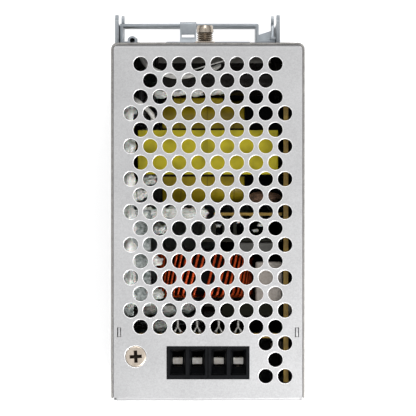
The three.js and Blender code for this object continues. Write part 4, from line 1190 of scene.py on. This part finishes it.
class SUPPLY_OT_components(bpy.types.Operator):
    """Capacitors, varistor, semiconductors, heatsinks, trimmer and status light"""

    bl_idname = "supply.components"
    bl_label = "Components"

    def execute(self, context):
        for i in (1, 2):
            can(f"bulk_capacitor_{i}", f"bulk_capacitor_{i}_can")
            can(f"output_capacitor_{i}", f"output_capacitor_{i}_can", 1.6)
        rounded_copy("film_capacitor", "film_capacitor_box", "grey_box", 0.7, 4)
        self.varistor()
        for node in ("bridge_rectifier", "switch_transistor", "output_diode"):
            rounded_copy(node, f"{node}_body", "black", 0.3)
        # The primary heatsink's finish carries painted reflection in its colour.
        for node, finish in (("primary_heatsink", "sink"), ("secondary_heatsink", "black_sink")):
            rounded_copy(node, f"{node}_sheet", finish, 0.25, 3)
        bm = bmesh.new()
        block(bm, *RELAY_CASE, 0.5, 3)
        deliver(bm, "relay_case", "grey_case")
        low, high = box_mm("film_capacitor")
        bm = bmesh.new()
        block(bm, (CARD_LEFT, high.x), (low.y - 1.5, CARD_REAR), (high.z + 0.1, high.z + 0.5), 0.1)
        deliver(bm, "insulating_card", "card")
        rounded_copy("trimmer_base", "trimmer_moulding", "white", 0.3)
        self.trimmer_shaft()
        self.status_light()
        return {"FINISHED"}

    def varistor(self):
        low, high, centre = box_and_middle("varistor")
        bm = bmesh.new()
        lumps(bm, centre, (high - low) / 2, 3.0, 0.12)
        deliver(bm, "varistor_disc", "ceramic", replaces=["varistor"], sharp=180)

    def trimmer_shaft(self):
        low, high, centre = box_and_middle("trimmer_shaft")
        radius = (high.x - low.x) / 2
        length = high.y - low.y
        under = [(radius, -length), (0, -length)]
        bm = cross_head(radius, 0.0, 0.3, cross=radius * 0.72, arm=0.4, depth=1.0, under=under)
        transform(bm, at((centre.x, low.y, centre.z), Z_TO_MINUS_Y))
        finish = ["white", "white"]
        deliver(bm, "trimmer_knob", finish, body="trimmer", replaces=["trimmer_shaft"])

    def status_light(self):
        low, high, centre = box_and_middle("status_light")
        radius = LIGHT_RADIUS
        length = high.y - low.y
        section = [(0, 0), (radius * 0.5, -0.12), (radius * 0.87, -0.55), (radius, -1.2)]
        section += [(radius, -5), (1.9, -5.2), (1.9, -length), (0, -length)]
        bm = turned(section)
        transform(bm, at((centre.x, low.y, centre.z), Z_TO_MINUS_Y))
        deliver(bm, "status_light_lens", "lens", replaces=["status_light"])


class SUPPLY_OT_adhesive_and_leads(bpy.types.Operator):
    """Silicone that holds the tall parts, and the leads that run over them"""

    bl_idname = "supply.adhesive_and_leads"
    bl_label = "Adhesive and leads"

    def execute(self, context):
        bm = bmesh.new()
        seed = 1.0
        for centres, size, swell, level, step in BEADS:
            for centre in centres:
                seed += step
                lumps(bm, centre, size, seed, swell, level)
        deliver(bm, "fixing_beads", "silicone", sharp=180, tidy=False)
        self.leads()
        return {"FINISHED"}

    def leads(self):
        top = HEIGHT - 5.0
        runs = {
            "lead_white": [
                [(-22, -4, 112), (-19, -8, top - 1), (-10, -11, top), (0, -9, top - 0.6), (6, -6, 112)],
                [(-27, -17, 110), (-23, -19, top), (-18, -24, top - 1), (-20, -29, 112)],
            ],
            "lead_black": [
                [(-27, -20, 108), (-24, -24, top - 0.4), (-20, -22, top - 0.8), (-17, -16, 112)],
                [(-26, -30, 108), (-24.5, -27, top - 2), (-22, -20, top - 2.5), (-22, -12, 112)],
            ],
        }
        for finish, paths in runs.items():
            bm = bmesh.new()
            for points in paths:
                lead(bm, points, LEAD_RADIUS)
            if finish == "lead_white":
                thin = [(-9, -10, 117), (-5, -8.8, top - 0.6), (5.7, -5.6, top - 0.4), (9, -4.6, 117)]
                lead(bm, thin, THIN_LEAD_RADIUS)
            deliver(bm, f"{finish}_runs", finish, sharp=60)


# ---------------------------------------------------------------- rail clip
def spring_wire(radius, wire, turns, length, sides=10, steps=20):
    """A coil spring along +Z from z = 0, with closed end turns."""
    bm = bmesh.new()
    edges = wire_start(bm, wire / 2, sides, at((radius, 0, wire / 2), Z_TO_MINUS_Y), True)
    open_turns = turns - 2
    pitch = (length - wire - 2 * wire) / open_turns
    for count, rise in ((1, wire), (open_turns, pitch), (1, wire)):
        made = bmesh.ops.spin(
            bm, geom=edges, cent=(0, 0, 0), axis=(0, 0, 1), dvec=(0, 0, rise / steps),
            angle=2 * math.pi * count, steps=steps * count,
        )["geom_last"]
        edges = only(made, BMEdge)
    bmesh.ops.edgenet_fill(bm, edges=edges)
    return bm


class SUPPLY_OT_rail_clip(bpy.types.Operator):
    """Bracket with its hooks, latch slider with its claws, and the latch spring"""

    bl_idname = "supply.rail_clip"
    bl_label = "Rail clip"

    def execute(self, context):
        rounded_copy("rail_bracket", "pressed_bracket", "clip_steel", 0.22, 3)
        bridge = 8.0  # how far the slider's bridge stands behind the back wall

        def bend(edge):
            """The outside corners where the bridge turns down into its leg and its tongue."""
            a, b = (v.co for v in edge.verts)
            along_z = abs(a.z - b.z) > 8 and abs(a.x - b.x) < 0.01
            along_x = abs(a.x - b.x) > 4 and abs(a.z - b.z) < 0.01
            outer = abs(a.y - bridge) < 0.01 and abs(b.y - bridge) < 0.01
            return outer and ((along_z and a.x > 16) or (along_x and a.z > 88))

        slider = from_cad("latch_slider", 0.2, 3, pick=bend)
        deliver(slider, "pressed_slider", "clip_steel", body="latch", replaces=["latch_slider"])
        self.spring()
        return {"FINISHED"}

    def spring(self):
        low, high = box_mm("latch_spring")
        wire = 0.6
        radius = (high.x - low.x - wire) / 2
        length = high.z - low.z
        bm = spring_wire(radius, wire, 9, length)
        transform(bm, Matrix.Translation(((low.x + high.x) / 2, (low.y + high.y) / 2, low.z)))
        piece = deliver(bm, "latch_spring_wire", "clip_steel", replaces=["latch_spring"], sharp=60)
        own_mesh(piece)


# ---------------------------------------------------------------- stage
def area_light(name, energy, size, place, target):
    """A square lamp that faces a target."""
    data = bpy.data.lights.new(name, "AREA")
    data.energy = energy
    data.size = size
    lamp = bpy.data.objects.new(name, data)
    lamp.location = place
    lamp.rotation_euler = (Vector(target) - Vector(place)).to_track_quat("-Z", "Y").to_euler()
    bpy.context.scene.collection.objects.link(lamp)


class SUPPLY_OT_stage(bpy.types.Operator):
    """Pale floor, soft studio light, and the camera looking straight down at the output end"""

    bl_idname = "supply.stage"
    bl_label = "Stage"

    def execute(self, context):
        scene = context.scene
        scene.view_settings.view_transform = "Standard"
        world = bpy.data.worlds.new("studio")
        world.use_nodes = True
        tree = world.node_tree
        background = tree.nodes["Background"]
        background.inputs["Color"].default_value = (1, 1, 1, 1)
        way = add(tree, "ShaderNodeTexCoord").outputs["Generated"]
        up = add(tree, "ShaderNodeSeparateXYZ", Vector=way).outputs["Z"]
        strength = add(tree, "ShaderNodeMapRange", Value=up, _1=0.0, _2=0.8, _3=SKY_HORIZON, _4=SKY_TOP)
        tree.links.new(strength.outputs["Result"], background.inputs["Strength"])
        scene.world = world
        top = HEIGHT * MM
        middle = BACK - VIEW_MIDDLE * MM
        data = bpy.data.cameras.new("camera")
        data.sensor_width = CAMERA_SENSOR
        data.lens = CAMERA_LENS
        camera = bpy.data.objects.new("camera", data)
        camera.location = (0, middle, top + CAMERA_HEIGHT * MM)
        scene.collection.objects.link(camera)
        scene.camera = camera
        before = FRONT * MM + BACK - 0.12
        area_light("front_soft", 1.15, 0.16, (0.14, before, top + 0.15), (0, middle, top))
        area_light("rear_soft", 3, 0.5, (0, 0.7, top + 0.8), (0, 0, top / 2))
        floor_mesh = bpy.data.meshes.new("floor")
        bm = bmesh.new()
        bmesh.ops.create_grid(bm, x_segments=1, y_segments=1, size=2)
        bm.to_mesh(floor_mesh)
        bm.free()
        floor = bpy.data.objects.new("floor", floor_mesh)
        floor_mesh.materials.append(self.floor_material())
        scene.collection.objects.link(floor)
        return {"FINISHED"}

    def floor_material(self):
        """White acrylic lit from behind, but dark under the object so that no light comes up the vents."""
        material, tree, shader, place = start_material("lit_acrylic", Roughness=0.9)
        cloud = add(tree, "ShaderNodeTexNoise", Vector=place, Scale=0.005).outputs["Fac"]
        colour_by(tree, shader, cloud, 0.0, 1.0, "#FBFBFB", "#FFFFFF")
        half_depth = (COVER_HIGH.y - FRONT) / 2
        middle = BACK / MM - half_depth
        moved = add(tree, "ShaderNodeVectorMath", {"operation": "SUBTRACT"}, _0=place, _1=(0, middle, 0))
        shrunk = add(
            tree, "ShaderNodeVectorMath", {"operation": "DIVIDE"}, _0=moved.outputs["Vector"],
            _1=(HALF_WIDTH, half_depth, 1000),
        )
        sides = add(tree, "ShaderNodeVectorMath", {"operation": "ABSOLUTE"}, _0=shrunk.outputs["Vector"])
        axes = add(tree, "ShaderNodeSeparateXYZ", Vector=sides.outputs["Vector"])
        x, y = axes.outputs["X"], axes.outputs["Y"]
        reach = add(tree, "ShaderNodeMath", {"operation": "MAXIMUM"}, _0=x, _1=y).outputs[0]
        glow = add(tree, "ShaderNodeMapRange", Value=reach, _1=0.97, _2=1.0, _3=0.0, _4=FLOOR_GLOW)
        tree.links.new(glow.outputs["Result"], shader.inputs["Emission Strength"])
        shader.inputs["Emission Color"].default_value = (1.0, 1.0, 1.0, 1.0)
        return material


# ---------------------------------------------------------------- add-on
class SUPPLY_PT_panel(bpy.types.Panel):
    """Lists what the script builds, with its settings"""

    bl_idname = "SUPPLY_PT_panel"
    bl_label = "Rail Power Supply"
    bl_space_type = "VIEW_3D"
    bl_region_type = "UI"
    bl_category = "Power Supply"

    def draw(self, context):
        for group in (context.scene.supply_sizes, context.scene.supply_colours):
            for key in group.__annotations__:
                self.layout.prop(group, key)
        for operator in OPERATORS:
            self.layout.operator(operator.bl_idname)


OPERATORS = (
    SUPPLY_OT_stage,
    SUPPLY_OT_case,
    SUPPLY_OT_fasteners,
    SUPPLY_OT_terminals,
    SUPPLY_OT_boards,
    SUPPLY_OT_wound_parts,
    SUPPLY_OT_components,
    SUPPLY_OT_adhesive_and_leads,
    SUPPLY_OT_rail_clip,
)
CLASSES = (SupplySizes, SupplyColours, *OPERATORS, SUPPLY_PT_panel)


def register():
    for item in CLASSES:
        bpy.utils.register_class(item)
    bpy.types.Scene.supply_sizes = bpy.props.PointerProperty(type=SupplySizes)
    bpy.types.Scene.supply_colours = bpy.props.PointerProperty(type=SupplyColours)


def unregister():
    del bpy.types.Scene.supply_colours
    del bpy.types.Scene.supply_sizes
    for item in reversed(CLASSES):
        bpy.utils.unregister_class(item)


def main():
    register()
    MATERIALS.update(make_materials())
    for operator in OPERATORS:
        group, name = operator.bl_idname.split(".")
        getattr(getattr(bpy.ops, group), name)()


if __name__ == "__main__":
    main()
